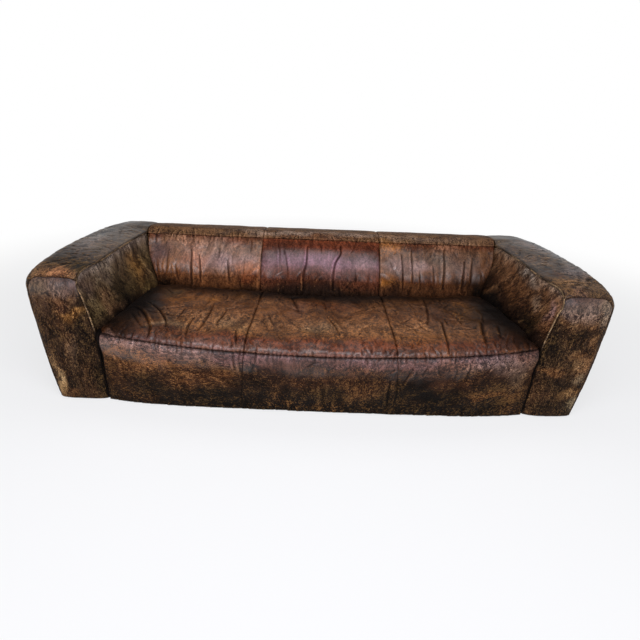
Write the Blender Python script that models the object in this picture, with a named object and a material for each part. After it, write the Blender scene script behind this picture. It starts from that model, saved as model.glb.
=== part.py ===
"""A low, deep three-seat leather sofa, built as it comes apart on an upholsterer's bench.

Timber base and arm frames carry zig-zag seat springs, foam pads lie on them, and each leather
panel is a thin closed shell over its pad. Metres, +Z up, the front faces -Y. The origin is on
the floor, under the middle of the sofa's bounding box.
"""

import math

import bmesh
import bpy
import numpy as np

# ---- driving dimensions -------------------------------------------------------------------
HEIGHT = 0.695          # highest point of the arms
ARM_DEPTH = 1.125       # arm front face to outside back
SEAT_BOW = 0.135        # how far the seat's nose stands in front of the arms, at the middle
OUT_FLOOR = 1.300       # half width of the sofa at the floor
OUT_TOP = 1.345         # half width at the arm's shoulder
SIDE_PUFF = 0.042       # how far an arm's outer side swells half way along
SHOULDER_Z = 0.625      # where an arm's outer side turns into its top
SHOULDER_X = 0.070      # how wide that turn is
IN_FLOOR = 1.053        # half width between the arms at the floor
IN_LEAN = 0.062         # how much wider the arms stand apart at the top
SEAM_DIP = 0.034        # the inner arm seam lies this far under the arm's top
TOP_SEAM_DIP = 0.006    # the same at the front, and beside the back's top
PANEL_FOOT = 0.305      # inside arm and inside back leather ends here, under the seat
EDGE_ROUND = 0.060      # how long the arm's top takes to turn into its front face
REAR_ROUND = 0.055      # the same at the outside back
SEAT_SEAM_Z = 0.371     # the seat's front seam above the floor
SEAT_CROWN = 0.418      # the seat's highest level
SEAT_REAR_Z = 0.377     # the seat where it meets the back
NOSE = 0.150            # depth of the rounded front of the seat
THIRD_SEAT = 0.345      # seams between the three seats
THIRD_BACK = 0.370      # seams between the three backs
SEAM_DRIFT = 0.020      # the seat's seams have crept to one side
BORDER_SPLAY = 0.045    # how far they spread down the front border
BACK_SEAM_D = 0.858     # front top seam of the back, behind the arm's front face
BACK_SEAM_Z = 0.649
LEATHER = 0.0015        # hide thickness
HEM_Z = 0.006           # lower edge of the leather
SEAM_GAP = 0.0003       # half the gap between two sewn panels
FIT = 0.0004            # clearance between a hide and the pad under it
PAD_FIT = 0.0009        # the same on an arm, whose swell is rounder
BORDER_FIT = 0.0030     # the same behind the front border
CREVICE = 0.006         # clearance between seat, back and arms
BASE_Z = 0.020          # underside of the timber
RAIL_TOP = 0.210        # top of the seat rails
RAIL = 0.030            # thickness of rails and stretchers
RAIL_D = 0.025          # front face of the front rail
BOARD_D = 0.010         # front face of an arm's front board
BOARD = 0.020           # thickness of the arm boards
PLY = 0.012             # thickness of an arm's outside board
TOUCH = 0.0003          # clearance where one piece of timber meets another
SIDE_RAIL_X = 1.080     # middle of a side rail
SPRING_RAIL_D = 0.735   # middle of the rail that carries the springs' rear ends
PAD_X = 1.130           # inner face of the arm boards
PAD_Z = 0.620           # top of the arm boards
BACK_PAD_D = 0.900      # front face of the back frame
BACK_PAD_Z = 0.605      # top of the back frame
WIRE = 0.002            # radius of the spring wire
SPRING_LEVEL = 0.0374   # rise of a spring's crown: it just carries the seat foam
FOAM_FOOT = 0.252       # underside of the seat foam
WELT = 0.002            # radius of the piping on the arms

FRONT_Y = -(ARM_DEPTH - SEAT_BOW) / 2   # the arm's front face
FRONT_SEAM = 0.006      # the seam round an arm's front face, behind that face
FRONT_PUFF = 0.020      # how far that face swells
REAR_SEAM = ARM_DEPTH - LEATHER - 2 * SEAM_GAP

# Depth stations of an arm, from its front seam to its rear seam.
ARM_STATIONS = (FRONT_SEAM, 0.022, 0.045, 0.10, 0.20, 0.36, 0.53, 0.70, BACK_SEAM_D,
                0.98, 1.075, 1.105, REAR_SEAM)
INNER_STATIONS = 9      # the inside arm panel ends at the back's front seam

# Folds worn into the inside back: (x, top z, foot z, depth).
BACK_FOLDS = ((-0.83, 0.55, 0.38, 0.010), (-0.77, 0.58, 0.36, 0.012), (-0.58, 0.55, 0.36, 0.009),
              (-0.09, 0.61, 0.37, 0.013), (0.10, 0.61, 0.36, 0.014), (0.51, 0.57, 0.36, 0.010),
              (0.58, 0.60, 0.38, 0.010), (0.77, 0.61, 0.34, 0.013), (0.90, 0.56, 0.35, 0.009))
FOLD_HALF = 0.016       # half the width of a fold

# Folds in the seat: (from x, from depth, to x, to depth, how deep).
SEAT_FOLDS = ((-0.90, 0.42, -0.74, 0.16, 0.008), (-0.78, 0.50, -0.62, 0.20, 0.009),
              (-0.95, 0.22, -0.80, 0.06, 0.008), (-0.60, 0.42, -0.50, 0.12, 0.007),
              (0.55, 0.40, 0.58, 0.10, 0.006), (0.74, 0.34, 0.70, 0.08, 0.006))
SEAT_FOLD_HALF = 0.050

# Materials: (name, colour, roughness, metallic). The hides differ from panel to panel.
HIDES = {
    "seat_panel": ("hide_seat", (0.130, 0.055, 0.025), 0.42, 0.0),
    "front_border_panel": ("hide_border", (0.060, 0.032, 0.018), 0.50, 0.0),
    "inside_back_panel_left": ("hide_back_left", (0.170, 0.080, 0.035), 0.40, 0.0),
    "inside_back_panel_middle": ("hide_back_middle", (0.110, 0.038, 0.024), 0.38, 0.0),
    "inside_back_panel_right": ("hide_back_right", (0.150, 0.062, 0.028), 0.40, 0.0),
    "back_top_panel": ("hide_back_top", (0.100, 0.065, 0.042), 0.50, 0.0),
    "inside_arm_panel_left": ("hide_inside_arm_left", (0.075, 0.052, 0.028), 0.45, 0.0),
    "inside_arm_panel_right": ("hide_inside_arm_right", (0.075, 0.035, 0.018), 0.45, 0.0),
    "arm": ("hide_arm", (0.058, 0.036, 0.024), 0.45, 0.0),
    "outside_back_panel": ("hide_outside_back", (0.045, 0.030, 0.022), 0.50, 0.0),
}
FOAM = ("foam", (0.78, 0.72, 0.55), 0.9, 0.0)
TIMBER = ("timber", (0.55, 0.38, 0.22), 0.7, 0.0)
STEEL = ("spring_steel", (0.35, 0.35, 0.36), 0.4, 0.9)
CLOTH = ("lining_cloth", (0.03, 0.03, 0.03), 0.95, 0.0)
PLASTIC = ("glide_plastic", (0.04, 0.04, 0.04), 0.5, 0.0)


# ---- small helpers ------------------------------------------------------------------------
def hide_of(name):
    """The hide that a panel is cut from: the longest entry that its name starts with."""
    return HIDES[max((key for key in HIDES if name.startswith(key)), key=len)]


def clear_scene():
    for obj in list(bpy.data.objects):
        bpy.data.objects.remove(obj, do_unlink=True)


def material(spec):
    name, colour, roughness, metallic = spec
    found = bpy.data.materials.get(name)
    if found:
        return found
    made = bpy.data.materials.new(name)
    made.use_nodes = True
    shader = made.node_tree.nodes["Principled BSDF"]
    shader.inputs["Base Color"].default_value = (*colour, 1.0)
    shader.inputs["Roughness"].default_value = roughness
    shader.inputs["Metallic"].default_value = metallic
    return made


def clamp(t):
    return max(0.0, min(1.0, t))


def ease(t):
    t = clamp(t)
    return t * t * (3 - 2 * t)


def turn(t):
    """Quarter circle: 1 at t = 0, where an edge begins to turn, and 0 from t = 1 on."""
    t = clamp(t)
    return 1 - math.sqrt(max(0.0, 1 - (1 - t) ** 2))


def mix(a, b, t):
    return a + (b - a) * t


def at(x, d, z):
    """A point d behind the arm's front face."""
    return np.array((x, FRONT_Y + d, z))


def link(name, mesh, spec):
    obj = bpy.data.objects.new(name, mesh)
    bpy.context.scene.collection.objects.link(obj)
    obj.data.materials.append(material(spec))
    return obj


# ---- the sofa's surfaces ------------------------------------------------------------------
def along(d):
    """0 at an arm's ends and 1 over its middle."""
    return 1 - (2 * clamp(d / ARM_DEPTH) - 1) ** 2


def top_level(d):
    """Height of the arms and of the back's top edge, rounded to the front and the rear."""
    front = 0.034 * turn(d / EDGE_ROUND)
    rear = 0.065 * turn((ARM_DEPTH - d) / REAR_ROUND)
    return HEIGHT - 0.030 * (1 - along(d)) - front - rear


def seam_level(d):
    """Height of an arm's inner seam. It nears the arm's top at the front and beside the back."""
    away = min(ease(d / 0.30), 1 - ease((d - BACK_SEAM_D) / 0.06))
    return top_level(d) - mix(TOP_SEAM_DIP, SEAM_DIP, away)


def inner_side(d, z, side):
    """Half the clear width between the arms: they lean apart, and swell over the seat."""
    swell = 0.012 + 0.030 * ease(d / 0.08) + 0.040 * clamp(d / 0.62) ** 1.5
    swell += (0.008 if side < 0 else -0.012) * math.sin(math.pi * clamp(d / 0.62))
    reach = clamp(abs(z - 0.37) / 0.24)
    lean = IN_LEAN * clamp(z / HEIGHT) ** 1.3
    return IN_FLOOR + lean - swell * math.cos(reach * math.pi / 2) ** 2 - 0.012 * turn(d / 0.05)


def outer_side(d, z):
    rise = 1 - (1 - clamp(z / SHOULDER_Z)) ** 2
    puff = SIDE_PUFF * (1 - (1 - along(d)) ** 2) * math.sin(math.pi * clamp(z / HEIGHT) * 0.75)
    x = mix(OUT_FLOOR, OUT_TOP, rise) + puff
    return x - 0.030 * turn(d / 0.035) - 0.050 * turn((ARM_DEPTH - d) / 0.070)


def arm_ring(d, side):
    """Points over an arm, from the inner seam over the top and down the outer side."""
    top, seam = top_level(d), seam_level(d)
    shoulder = top - (HEIGHT - SHOULDER_Z)
    x_in, x_out = inner_side(d, seam, side), outer_side(d, shoulder)
    points = []
    for t in (0.0, 0.5):
        crown = 0.006 * math.sin(math.pi * t)
        points.append(at(mix(x_in, x_out - SHOULDER_X, t), d, mix(seam, top, math.sqrt(t)) + crown * 0.5))
    for quarter in range(5):
        a = math.pi / 2 * (1 - quarter / 4)
        across, rise = math.cos(a) ** 0.85, math.sin(a) ** 0.85
        points.append(at(x_out - SHOULDER_X * (1 - across), d, mix(shoulder, top, rise)))
    for quarter in range(1, 5):
        z = mix(shoulder, HEM_Z, quarter / 4)
        points.append(at(outer_side(d, z), d, z))
    return points


def inner_levels(d):
    """Heights down the inner side of an arm, from its seam to the foot of its leather."""
    seam = seam_level(d)
    return [mix(seam, PANEL_FOOT, t) for t in (0.0, 0.2, 0.45, 0.72, 1.0)]


def back_end(side, d, z):
    """x of the back's end, just inside the arm."""
    return side * (inner_side(d, z, side) - CREVICE)


def back_face(x, z):
    """Depth of the inside back at a height: it leans back and bulges over the seat."""
    s = clamp((BACK_SEAM_Z - z) / (BACK_SEAM_Z - PANEL_FOOT))
    middle = 1 - clamp(abs(x) / 1.05) ** 2
    reach = mix(0.198, 0.300, middle ** 2.5)
    power = mix(1.5, 1.0, middle)
    d = BACK_SEAM_D - reach * math.sin(min(s / 0.85, 1.0) * math.pi / 2) ** power
    return d + 0.05 * clamp((s - 0.85) / 0.15) ** 2 + back_fold(x, z)


def back_fold(x, z):
    depth = 0.0
    for fold_x, top, foot, deep in BACK_FOLDS:
        across = clamp(1 - abs(x - fold_x) / FOLD_HALF)
        along_fold = ease((top - z) / 0.05) * ease((z - foot) / 0.04)
        depth += deep * across * along_fold
    return depth


def back_top(t):
    """(depth, height) over the top of the back, from its front seam to its rear seam."""
    d = mix(BACK_SEAM_D, REAR_SEAM, t)
    crown = 0.006 * math.sin(math.pi * t)
    return d, mix(BACK_SEAM_Z, top_level(d) - TOP_SEAM_DIP, ease(t / 0.25)) + crown


def seat_bow(x):
    return SEAT_BOW * (1 - clamp(abs(x) / 1.045) ** 2) ** 0.8


def seat_end(side, d, z):
    """x of the seat's end: it keeps clear of the arm, and draws in at the front corner."""
    drawn = (0.028 if side < 0 else 0.012) * (1 - ease((d + 0.02) / 0.12)) * clamp(z / SEAT_SEAM_Z)
    return side * (inner_side(max(d, 0.0), z, side) - CREVICE - drawn)


def seat_seam(x):
    return SEAT_SEAM_Z + 0.012 * clamp(abs(x) / 1.03) ** 2


def seat_rear(x):
    return back_face(x, SEAT_REAR_Z) - back_fold(x, SEAT_REAR_Z) - CREVICE


def seat_fold(x, d):
    depth = 0.0
    for x0, d0, x1, d1, deep in SEAT_FOLDS:
        run = (x1 - x0) ** 2 + (d1 - d0) ** 2
        t = clamp(((x - x0) * (x1 - x0) + (d - d0) * (d1 - d0)) / run)
        away = math.hypot(x - mix(x0, x1, t), d - mix(d0, d1, t))
        depth += deep * clamp(1 - away / SEAT_FOLD_HALF)
    return depth


def seat_top(x, d, end):
    """Height of the seat: a rounded nose, a dish in each third, falling to the sides and rear."""
    seam = seat_seam(x)
    z = mix(seam, SEAT_CROWN, 1 - turn((d + seat_bow(x)) / NOSE))
    z -= (SEAT_CROWN - SEAT_REAR_Z) * turn((seat_rear(x) - d) / 0.20)
    z -= 0.030 * turn((abs(end) - abs(x)) / 0.12) * ease((d + 0.02) / 0.1)
    third = abs((abs(x) + THIRD_SEAT) % (2 * THIRD_SEAT) - THIRD_SEAT) / THIRD_SEAT
    dish = 0.010 * (1 - third ** 2) * ease((d + seat_bow(x)) / 0.2)
    groove = 0.005 * clamp(1 - abs(abs(x) - THIRD_SEAT) / 0.02) * ease((d + seat_bow(x)) / 0.03)
    return max(seam, z - dish - seat_fold(x, d)) - groove


def seat_front(x, z):
    """Depth of the front border at a height: it bellies forward and tucks in at the floor."""
    s = clamp((z - HEM_Z) / (seat_seam(x) - HEM_Z))
    foot = 0.040 * (1 - clamp(abs(x) / 1.06) ** 4)
    belly = 0.016 * math.sin(math.pi * s ** 1.4)
    return -mix(foot, seat_bow(x), s ** 1.15) - belly * (1 - clamp(abs(x) / 1.06) ** 6)


# ---- grids of points ----------------------------------------------------------------------
def coons(top, bottom, left, right):
    """A patch over four edges: top and bottom run left to right, left and right run down."""
    rows, columns = len(left), len(top)
    patch = np.zeros((rows, columns, 3))
    for i in range(rows):
        for j in range(columns):
            v, u = i / (rows - 1), j / (columns - 1)
            ruled = mix(top[j], bottom[j], v) + mix(left[i], right[i], u)
            corners = mix(mix(top[0], top[-1], u), mix(bottom[0], bottom[-1], u), v)
            patch[i, j] = ruled - corners
    return patch


def arm_grids(side):
    """An arm's three leather panels, as if on the right, as grids whose normals point out."""
    over = np.array([arm_ring(d, side) for d in ARM_STATIONS])
    inner = np.array([[at(inner_side(d, z, side), d, z) for z in inner_levels(d)]
                      for d in ARM_STATIONS[:INNER_STATIONS]])
    ring = over[0]
    foot = [at(inner_side(FRONT_SEAM, z, side), FRONT_SEAM, z) for z in (0.15, HEM_Z)]
    inner_edge = list(inner[0]) + foot
    outer_edge = list(ring[4:])
    bottom = [mix(inner_edge[-1], outer_edge[-1], t) for t in (0, 0.25, 0.5, 0.75, 1)]
    front = coons(list(ring[:5]), bottom, inner_edge, outer_edge)
    across = np.linspace(0, 1, front.shape[1])[None, :]
    down = np.linspace(0, 1, front.shape[0])[:, None]
    front[:, :, 1] -= FRONT_PUFF * (4 * across * (1 - across)) ** 0.7 * np.minimum(1, 5 * down) * (1 - 0.4 * down)
    return {"over": over, "inner": inner[:, ::-1], "front": front[::-1]}


def mirrored(grid):
    """The same panel on the left, with its columns turned round so that it still faces out."""
    return (grid * np.array((-1.0, 1.0, 1.0)))[:, ::-1]


def spread(lo, hi, steps):
    return [mix(lo, hi, i / steps) for i in range(steps + 1)]


def back_columns(lo, hi):
    """Columns of a back panel: evenly spread, with three at each fold."""
    columns = set(round(x, 4) for x in spread(lo, hi, 6))
    for fold_x, *_ in BACK_FOLDS:
        if lo < fold_x < hi:
            columns = {x for x in columns if abs(x - fold_x) > 1.8 * FOLD_HALF or x in (lo, hi)}
            columns |= {fold_x - FOLD_HALF, fold_x, fold_x + FOLD_HALF}
    return sorted(columns)


BACK_ROWS = (0.0, 0.10, 0.28, 0.48, 0.66, 0.80, 0.90, 1.0)
BACK_TOP_STEPS = (0.0, 0.12, 0.40, 0.78, 0.93, 1.0)
SIDE_MARK = 1.02        # a column mark that stands for the arm's inner side
BACK_THIRDS = {"left": (-SIDE_MARK, -THIRD_BACK), "middle": (-THIRD_BACK, THIRD_BACK),
               "right": (THIRD_BACK, SIDE_MARK)}
SEAT_THIRDS = {"left": (-SIDE_MARK, -THIRD_SEAT), "middle": (-THIRD_SEAT, THIRD_SEAT),
               "right": (THIRD_SEAT, SIDE_MARK)}


def stretched(x, third, end):
    """Moves a column mark so that the marks at the sides land on the arm."""
    if abs(x) <= third:
        return x
    side = math.copysign(1, x)
    return side * mix(third, abs(end), (abs(x) - third) / (SIDE_MARK - third))


def drifted(mark, end):
    """The same on the seat, whose seams have crept to one side."""
    return stretched(mark, THIRD_SEAT, end) + SEAM_DRIFT * (1 - abs(mark) / SIDE_MARK)


def back_grid(columns, levels):
    grid = np.zeros((len(levels), len(columns), 3))
    for i, z in enumerate(levels):
        for j, mark in enumerate(columns):
            x = stretched(mark, THIRD_BACK, back_end(math.copysign(1, mark), back_face(mark, z), z))
            x *= 1 - 0.05 * (BACK_SEAM_Z - z) / (BACK_SEAM_Z - PANEL_FOOT) * (1 - (mark / SIDE_MARK) ** 2)
            grid[i, j] = at(x, back_face(mark, z), z)
    return grid


def back_top_grid(columns):
    grid = np.zeros((len(BACK_TOP_STEPS), len(columns), 3))
    for i, t in enumerate(BACK_TOP_STEPS):
        for j, mark in enumerate(columns):
            d, z = back_top(t)
            side = math.copysign(1, mark)
            end = side * (inner_side(d, seam_level(d), side) - 2 * SEAM_GAP)
            grid[i, j] = at(stretched(mark, THIRD_BACK, end), d, z)
    return grid[::-1]


SEAT_ROWS = (0.0, 0.04, 0.13, 0.26, 0.42, 0.58, 0.72, 0.83, 0.91, 0.97, 1.0)
BORDER_ROWS = (0.0, 0.10, 0.25, 0.50, 0.75, 1.0)


def seat_columns(lo, hi):
    if lo < 0 < hi:
        return [-THIRD_SEAT, -0.325, -0.22, -0.075, 0.075, 0.22, 0.325, THIRD_SEAT]
    outer = [THIRD_SEAT, 0.365, 0.48, 0.60, 0.72, 0.83, 0.92, 0.985, SIDE_MARK]
    return outer if lo > 0 else [-x for x in reversed(outer)]


def seat_grid(columns):
    """The seat's top, from the rear crevice to the front seam."""
    grid = np.zeros((len(SEAT_ROWS), len(columns), 3))
    for i, t in enumerate(SEAT_ROWS):
        for j, mark in enumerate(columns):
            side = math.copysign(1, mark)
            x = mark
            for _ in range(3):
                d = mix(seat_rear(x), -seat_bow(x), t)
                end = seat_end(side, d, SEAT_SEAM_Z)
                x = drifted(mark, end)
            grid[i, j] = at(x, d, seat_top(x, d, end))
    return grid[::-1]


def border_grid(columns, seam):
    """The front border, from the seat's seam to the floor."""
    grid = np.zeros((len(BORDER_ROWS), len(columns), 3))
    for i, t in enumerate(BORDER_ROWS):
        for j in range(len(columns)):
            top = seam[j][2]
            if i == 0:
                grid[i, j] = seam[j]
                continue
            z = mix(top, HEM_Z, t)
            x = drifted(columns[j], seat_end(math.copysign(1, columns[j]), 0, z))
            splay = BORDER_SPLAY * t * math.sin(math.pi * clamp(abs(x) / 1.04))
            grid[i, j] = at(x + math.copysign(splay, x), seat_front(x, z), z)
    return grid[::-1]


# ---- shells and slabs ---------------------------------------------------------------------
def common_normals(grids):
    """A normal for each point of each grid. Panels that share a seam share its normals."""
    sums = {}

    def key(p):
        return tuple(np.round(p * 1e5).astype(int))

    for grid in grids.values():
        for i in range(grid.shape[0] - 1):
            for j in range(grid.shape[1] - 1):
                a, b, c, d = grid[i, j], grid[i, j + 1], grid[i + 1, j + 1], grid[i + 1, j]
                face = np.cross(c - a, d - b)
                size = np.linalg.norm(face)
                for p in (a, b, c, d):
                    sums[key(p)] = sums.get(key(p), np.zeros(3)) + face / max(size, 1e-12)
    normals = {}
    for name, grid in grids.items():
        normal = np.array([[sums[key(p)] for p in row] for row in grid])
        normals[name] = normal / np.linalg.norm(normal, axis=2, keepdims=True)
    return normals


def drawn_in(grid, gap=SEAM_GAP):
    """The grid with its four edges pulled in, so that sewn neighbours stay apart."""
    out = grid.copy()

    def toward(edge, inside):
        step = inside - edge
        return edge + step / np.linalg.norm(step, axis=-1, keepdims=True) * gap

    out[0], out[-1] = toward(out[0], out[1]), toward(out[-1], out[-2])
    out[:, 0], out[:, -1] = toward(out[:, 0], out[:, 1]), toward(out[:, -1], out[:, -2])
    return out


def slab(name, outer, inner, spec):
    """A closed solid between two grids of the same size. outer faces along its normals."""
    rows, columns = outer.shape[:2]
    count = rows * columns
    points = np.concatenate([outer.reshape(-1, 3), inner.reshape(-1, 3)])
    faces = []
    for i in range(rows - 1):
        for j in range(columns - 1):
            a, b = i * columns + j, i * columns + j + 1
            c, d = b + columns, a + columns
            faces += [(a, b, c), (a, c, d)]
            faces += [(a + count, c + count, b + count), (a + count, d + count, c + count)]
    rim = [j for j in range(columns)]
    rim += [i * columns + columns - 1 for i in range(1, rows)]
    rim += [(rows - 1) * columns + j for j in range(columns - 2, -1, -1)]
    rim += [i * columns for i in range(rows - 2, 0, -1)]
    for a, b in zip(rim, rim[1:] + rim[:1]):
        faces += [(b, a, a + count), (b, a + count, b + count)]
    mesh = bpy.data.meshes.new(name)
    mesh.from_pydata([tuple(p) for p in points], [], faces)
    mesh.update()
    mesh.shade_smooth()
    mesh.set_sharp_from_angle(angle=math.radians(40))
    return link(name, mesh, spec)


def hide_panel(name, outer, inner):
    """A leather panel, its edges drawn in from the seams."""
    return slab(name, drawn_in(outer), drawn_in(inner), hide_of(name))


def under(grid, normal, fit=FIT):
    """The surface of the pad under a hide."""
    return grid - normal * (LEATHER + fit)


def joined(part, thirds, grids, normals):
    """Three sewn panels as one grid, with its normals."""
    def row(source):
        left, middle, right = [source[part + third] for third in thirds]
        return np.concatenate([left[:, :-1], middle[:, :-1], right], axis=1)
    return row(grids), row(normals)


def rows_below(grid, z):
    return np.array([row for row in grid if row[:, 2].max() < z])


def rows_above(grid, z):
    return np.array([row for row in grid if row[:, 2].min() > z])


def chord(grid, z):
    """The line at height z on a grid whose rows rise."""
    line = np.zeros((grid.shape[1], 3))
    for j in range(grid.shape[1]):
        column = grid[:, j]
        i = max(k for k in range(len(column) - 1) if column[k][2] <= z)
        line[j] = mix(column[i], column[i + 1], (z - column[i][2]) / (column[i + 1][2] - column[i][2]))
    return line


def box(name, low, high, spec=TIMBER, bevel=0.003):
    """A rectangular piece between two corners, given as (x, depth behind the arm front, z)."""
    low, high = at(*low), at(*high)
    mesh = bpy.data.meshes.new(name)
    shape = bmesh.new()
    bmesh.ops.create_cube(shape, size=1.0)
    bmesh.ops.scale(shape, vec=tuple(high - low), verts=shape.verts)
    bmesh.ops.translate(shape, vec=tuple((high + low) / 2), verts=shape.verts)
    if bevel:
        bmesh.ops.bevel(shape, geom=shape.edges[:], offset=bevel, segments=1, affect="EDGES")
    shape.to_mesh(mesh)
    shape.free()
    return link(name, mesh, spec)


def cut(obj, cutter):
    """Cuts a hidden solid out of a piece."""
    cutter.hide_render = True
    cutter.display_type = "WIRE"
    notch = obj.modifiers.new("notch", "BOOLEAN")
    notch.operation = "DIFFERENCE"
    notch.solver = "EXACT"
    notch.object = cutter


def profile_board(name, outline, d, thickness, spec=TIMBER):
    """A board cut to an outline of (x, z) points, standing across the sofa at depth d."""
    mesh = bpy.data.meshes.new(name)
    shape = bmesh.new()
    face = shape.faces.new([shape.verts.new(at(x, d, z)) for x, z in outline])
    pushed = bmesh.ops.extrude_face_region(shape, geom=[face])
    moved = [v for v in pushed["geom"] if isinstance(v, bmesh.types.BMVert)]
    bmesh.ops.translate(shape, vec=(0, thickness, 0), verts=moved)
    bmesh.ops.recalc_face_normals(shape, faces=shape.faces[:])
    shape.to_mesh(mesh)
    shape.free()
    return link(name, mesh, spec)


def tube(name, points, radius, spec, resolution=0):
    """A round bar along a line of points."""
    curve = bpy.data.curves.new(name, "CURVE")
    curve.dimensions = "3D"
    curve.bevel_depth = radius
    curve.bevel_resolution = resolution
    curve.use_fill_caps = True
    spline = curve.splines.new("POLY")
    spline.points.add(len(points) - 1)
    for point, place in zip(spline.points, points):
        point.co = (*place, 1.0)
    return link(name, curve, spec)


# ---- leather and pads ---------------------------------------------------------------------
def build_arm(side):
    """One arm: its leather, piping, pad, boards and rail. Grids are mirrored for the left."""
    name = "right" if side > 0 else "left"
    grids = arm_grids(side)
    normals = common_normals(grids)
    face = (lambda grid: grid) if side > 0 else mirrored
    for part, label in (("over", "arm_top_and_outside"), ("inner", "inside_arm"), ("front", "arm_front")):
        outer, inner = grids[part], grids[part] - normals[part] * LEATHER
        hide_panel(f"{label}_panel_{name}", face(outer), face(inner))

    # Piping along the inner seam: from the back's corner forward, then down the front.
    line = np.concatenate([grids["inner"][::-1, -1], grids["inner"][0, ::-1][1:]])
    away = np.concatenate([normals["inner"][::-1, -1], normals["inner"][0, ::-1][1:]])
    line = line + away * (WELT + TOUCH)
    line[:, 0] *= side
    tube(f"arm_piping_{name}", line, WELT, HIDES["arm"])

    build_arm_pad(side, name, face)
    build_arm_frame(side, name, face)


def build_arm_pad(side, name, face):
    """Foam up the inner side and over the top. The back's top rail passes through a notch."""
    outer, inner = [], []
    for d in [d for d in ARM_STATIONS if 0.04 < d < 1.09]:
        levels = inner_levels(d)[::-1]
        over = arm_ring(d, side)[1:3]
        outer.append([at(inner_side(d, z, side), d, z) for z in levels] + over)
        inner.append([at(PAD_X, d, min(z, PAD_Z)) for z in levels] + [at(p[0], d, PAD_Z) for p in over])
    outer = np.array(outer)
    outer = outer - common_normals({"pad": outer})["pad"] * (LEATHER + PAD_FIT)
    pad = slab(f"arm_pad_{name}", face(outer), face(np.array(inner)), FOAM)
    low, high = sorted((side * 0.80, side * (PAD_X + 0.01)))
    notch = box(f"pad_notch_{name}", (low, BACK_PAD_D, BACK_PAD_Z - 0.030 - TOUCH),
                (high, 1.2, BACK_PAD_Z), bevel=0)
    cut(pad, notch)


def build_arm_frame(side, name, face):
    """Shaped ply boards at each end, a rail between them and a thin board down the outer side."""
    rear = REAR_SEAM - 0.012 - BOARD
    for end, d, widest, inset in (("front", BOARD_D, BOARD_D, 0.006), ("rear", rear, rear + BOARD, 0.014)):
        outline = [(PAD_X + TOUCH, BASE_Z), (PAD_X + TOUCH, PAD_Z - TOUCH)]
        outline += [(outer_side(widest, SHOULDER_Z) - SHOULDER_X, PAD_Z - TOUCH)]
        outline += [(outer_side(widest, z) - inset, z) for z in (0.53, 0.40, 0.20, BASE_Z)]
        profile_board(f"arm_{end}_board_{name}", [(side * x, z) for x, z in outline], d, BOARD)
    first, last = BOARD_D + BOARD + TOUCH, rear - TOUCH
    low, high = sorted((side * (PAD_X + 0.002), side * (PAD_X + 0.115)))
    box(f"arm_top_rail_{name}", (low, first, PAD_Z - 0.030), (high, last, PAD_Z - TOUCH))
    outer, inner = [], []
    for d in [first] + [d for d in ARM_STATIONS if 0.04 < d < 1.08]:
        levels = [mix(SHOULDER_Z - 0.09, BASE_Z, t) for t in (0, 0.25, 0.5, 0.75, 1)]
        outer.append([at(outer_side(d, z) - 0.0045, d, z) for z in levels])
        inner.append([at(outer_side(d, z) - 0.0045 - PLY, d, z) for z in levels])
    slab(f"arm_outside_board_{name}", face(np.array(outer)), face(np.array(inner)), TIMBER)


def build_back():
    """The back: three inside panels, three top panels and the foam under them."""
    levels = [mix(BACK_SEAM_Z, PANEL_FOOT, t) for t in BACK_ROWS]
    grids = {}
    for third, (lo, hi) in BACK_THIRDS.items():
        columns = back_columns(lo, hi)
        face = back_grid(columns, levels)
        top = back_top_grid(columns)
        top[-1] = face[0]
        grids["inside_back_panel_" + third] = face[::-1]
        grids["back_top_panel_" + third] = top[::-1]
    normals = common_normals(grids)
    for name, grid in grids.items():
        hide_panel(name, grid, grid - normals[name] * LEATHER)

    face, face_normal = joined("inside_back_panel_", BACK_THIRDS, grids, normals)
    crown, crown_normal = joined("back_top_panel_", BACK_THIRDS, grids, normals)
    foot = under(face, face_normal)[:1] - np.array((0, 0, PANEL_FOOT - FOAM_FOOT - 0.008))
    outer = np.concatenate([foot, under(face, face_normal), under(crown, crown_normal)[1:4]])
    wall = 1 + len(face)
    outer[wall:, 0, 0] += CREVICE
    outer[wall:, -1, 0] -= CREVICE
    inner = outer.copy()
    inner[:wall, :, 1] = FRONT_Y + BACK_PAD_D
    inner[:wall, :, 2] = np.minimum(inner[:wall, :, 2], BACK_PAD_Z - 0.03)
    inner[wall - 1, :, 2] = BACK_PAD_Z
    inner[wall:, :, 2] = BACK_PAD_Z
    inner[wall, :, 1] = np.maximum(inner[wall, :, 1], FRONT_Y + BACK_PAD_D + 0.02)
    for row in inner[:wall]:
        z = row[0, 2]
        row[:, 0] = np.clip(row[:, 0], back_end(-1, BACK_PAD_D, z), back_end(1, BACK_PAD_D, z))
    slab("back_foam", outer, inner, FOAM)


def build_outside_back():
    """One sheet across the rear, over the ends of both arms."""
    left = [p * (-1, 0, 1) for p in arm_ring(REAR_SEAM, -1)]
    right = [p * (1, 0, 1) for p in arm_ring(REAR_SEAM, 1)]
    top = left[4::-1] + [np.array((x, 0, right[0][2])) for x in (-0.55, 0, 0.55)] + right[:5]
    left, right = left[4:], right[4:]
    share = [(p[0] - top[0][0]) / (top[-1][0] - top[0][0]) for p in top]
    sheet = coons(top, [mix(left[-1], right[-1], t) for t in share], left, right)
    sheet[:, :, 1] = FRONT_Y + ARM_DEPTH - LEATHER
    outer = sheet + np.array((0, LEATHER, 0))
    hide_panel("outside_back_panel", outer, sheet)


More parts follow.
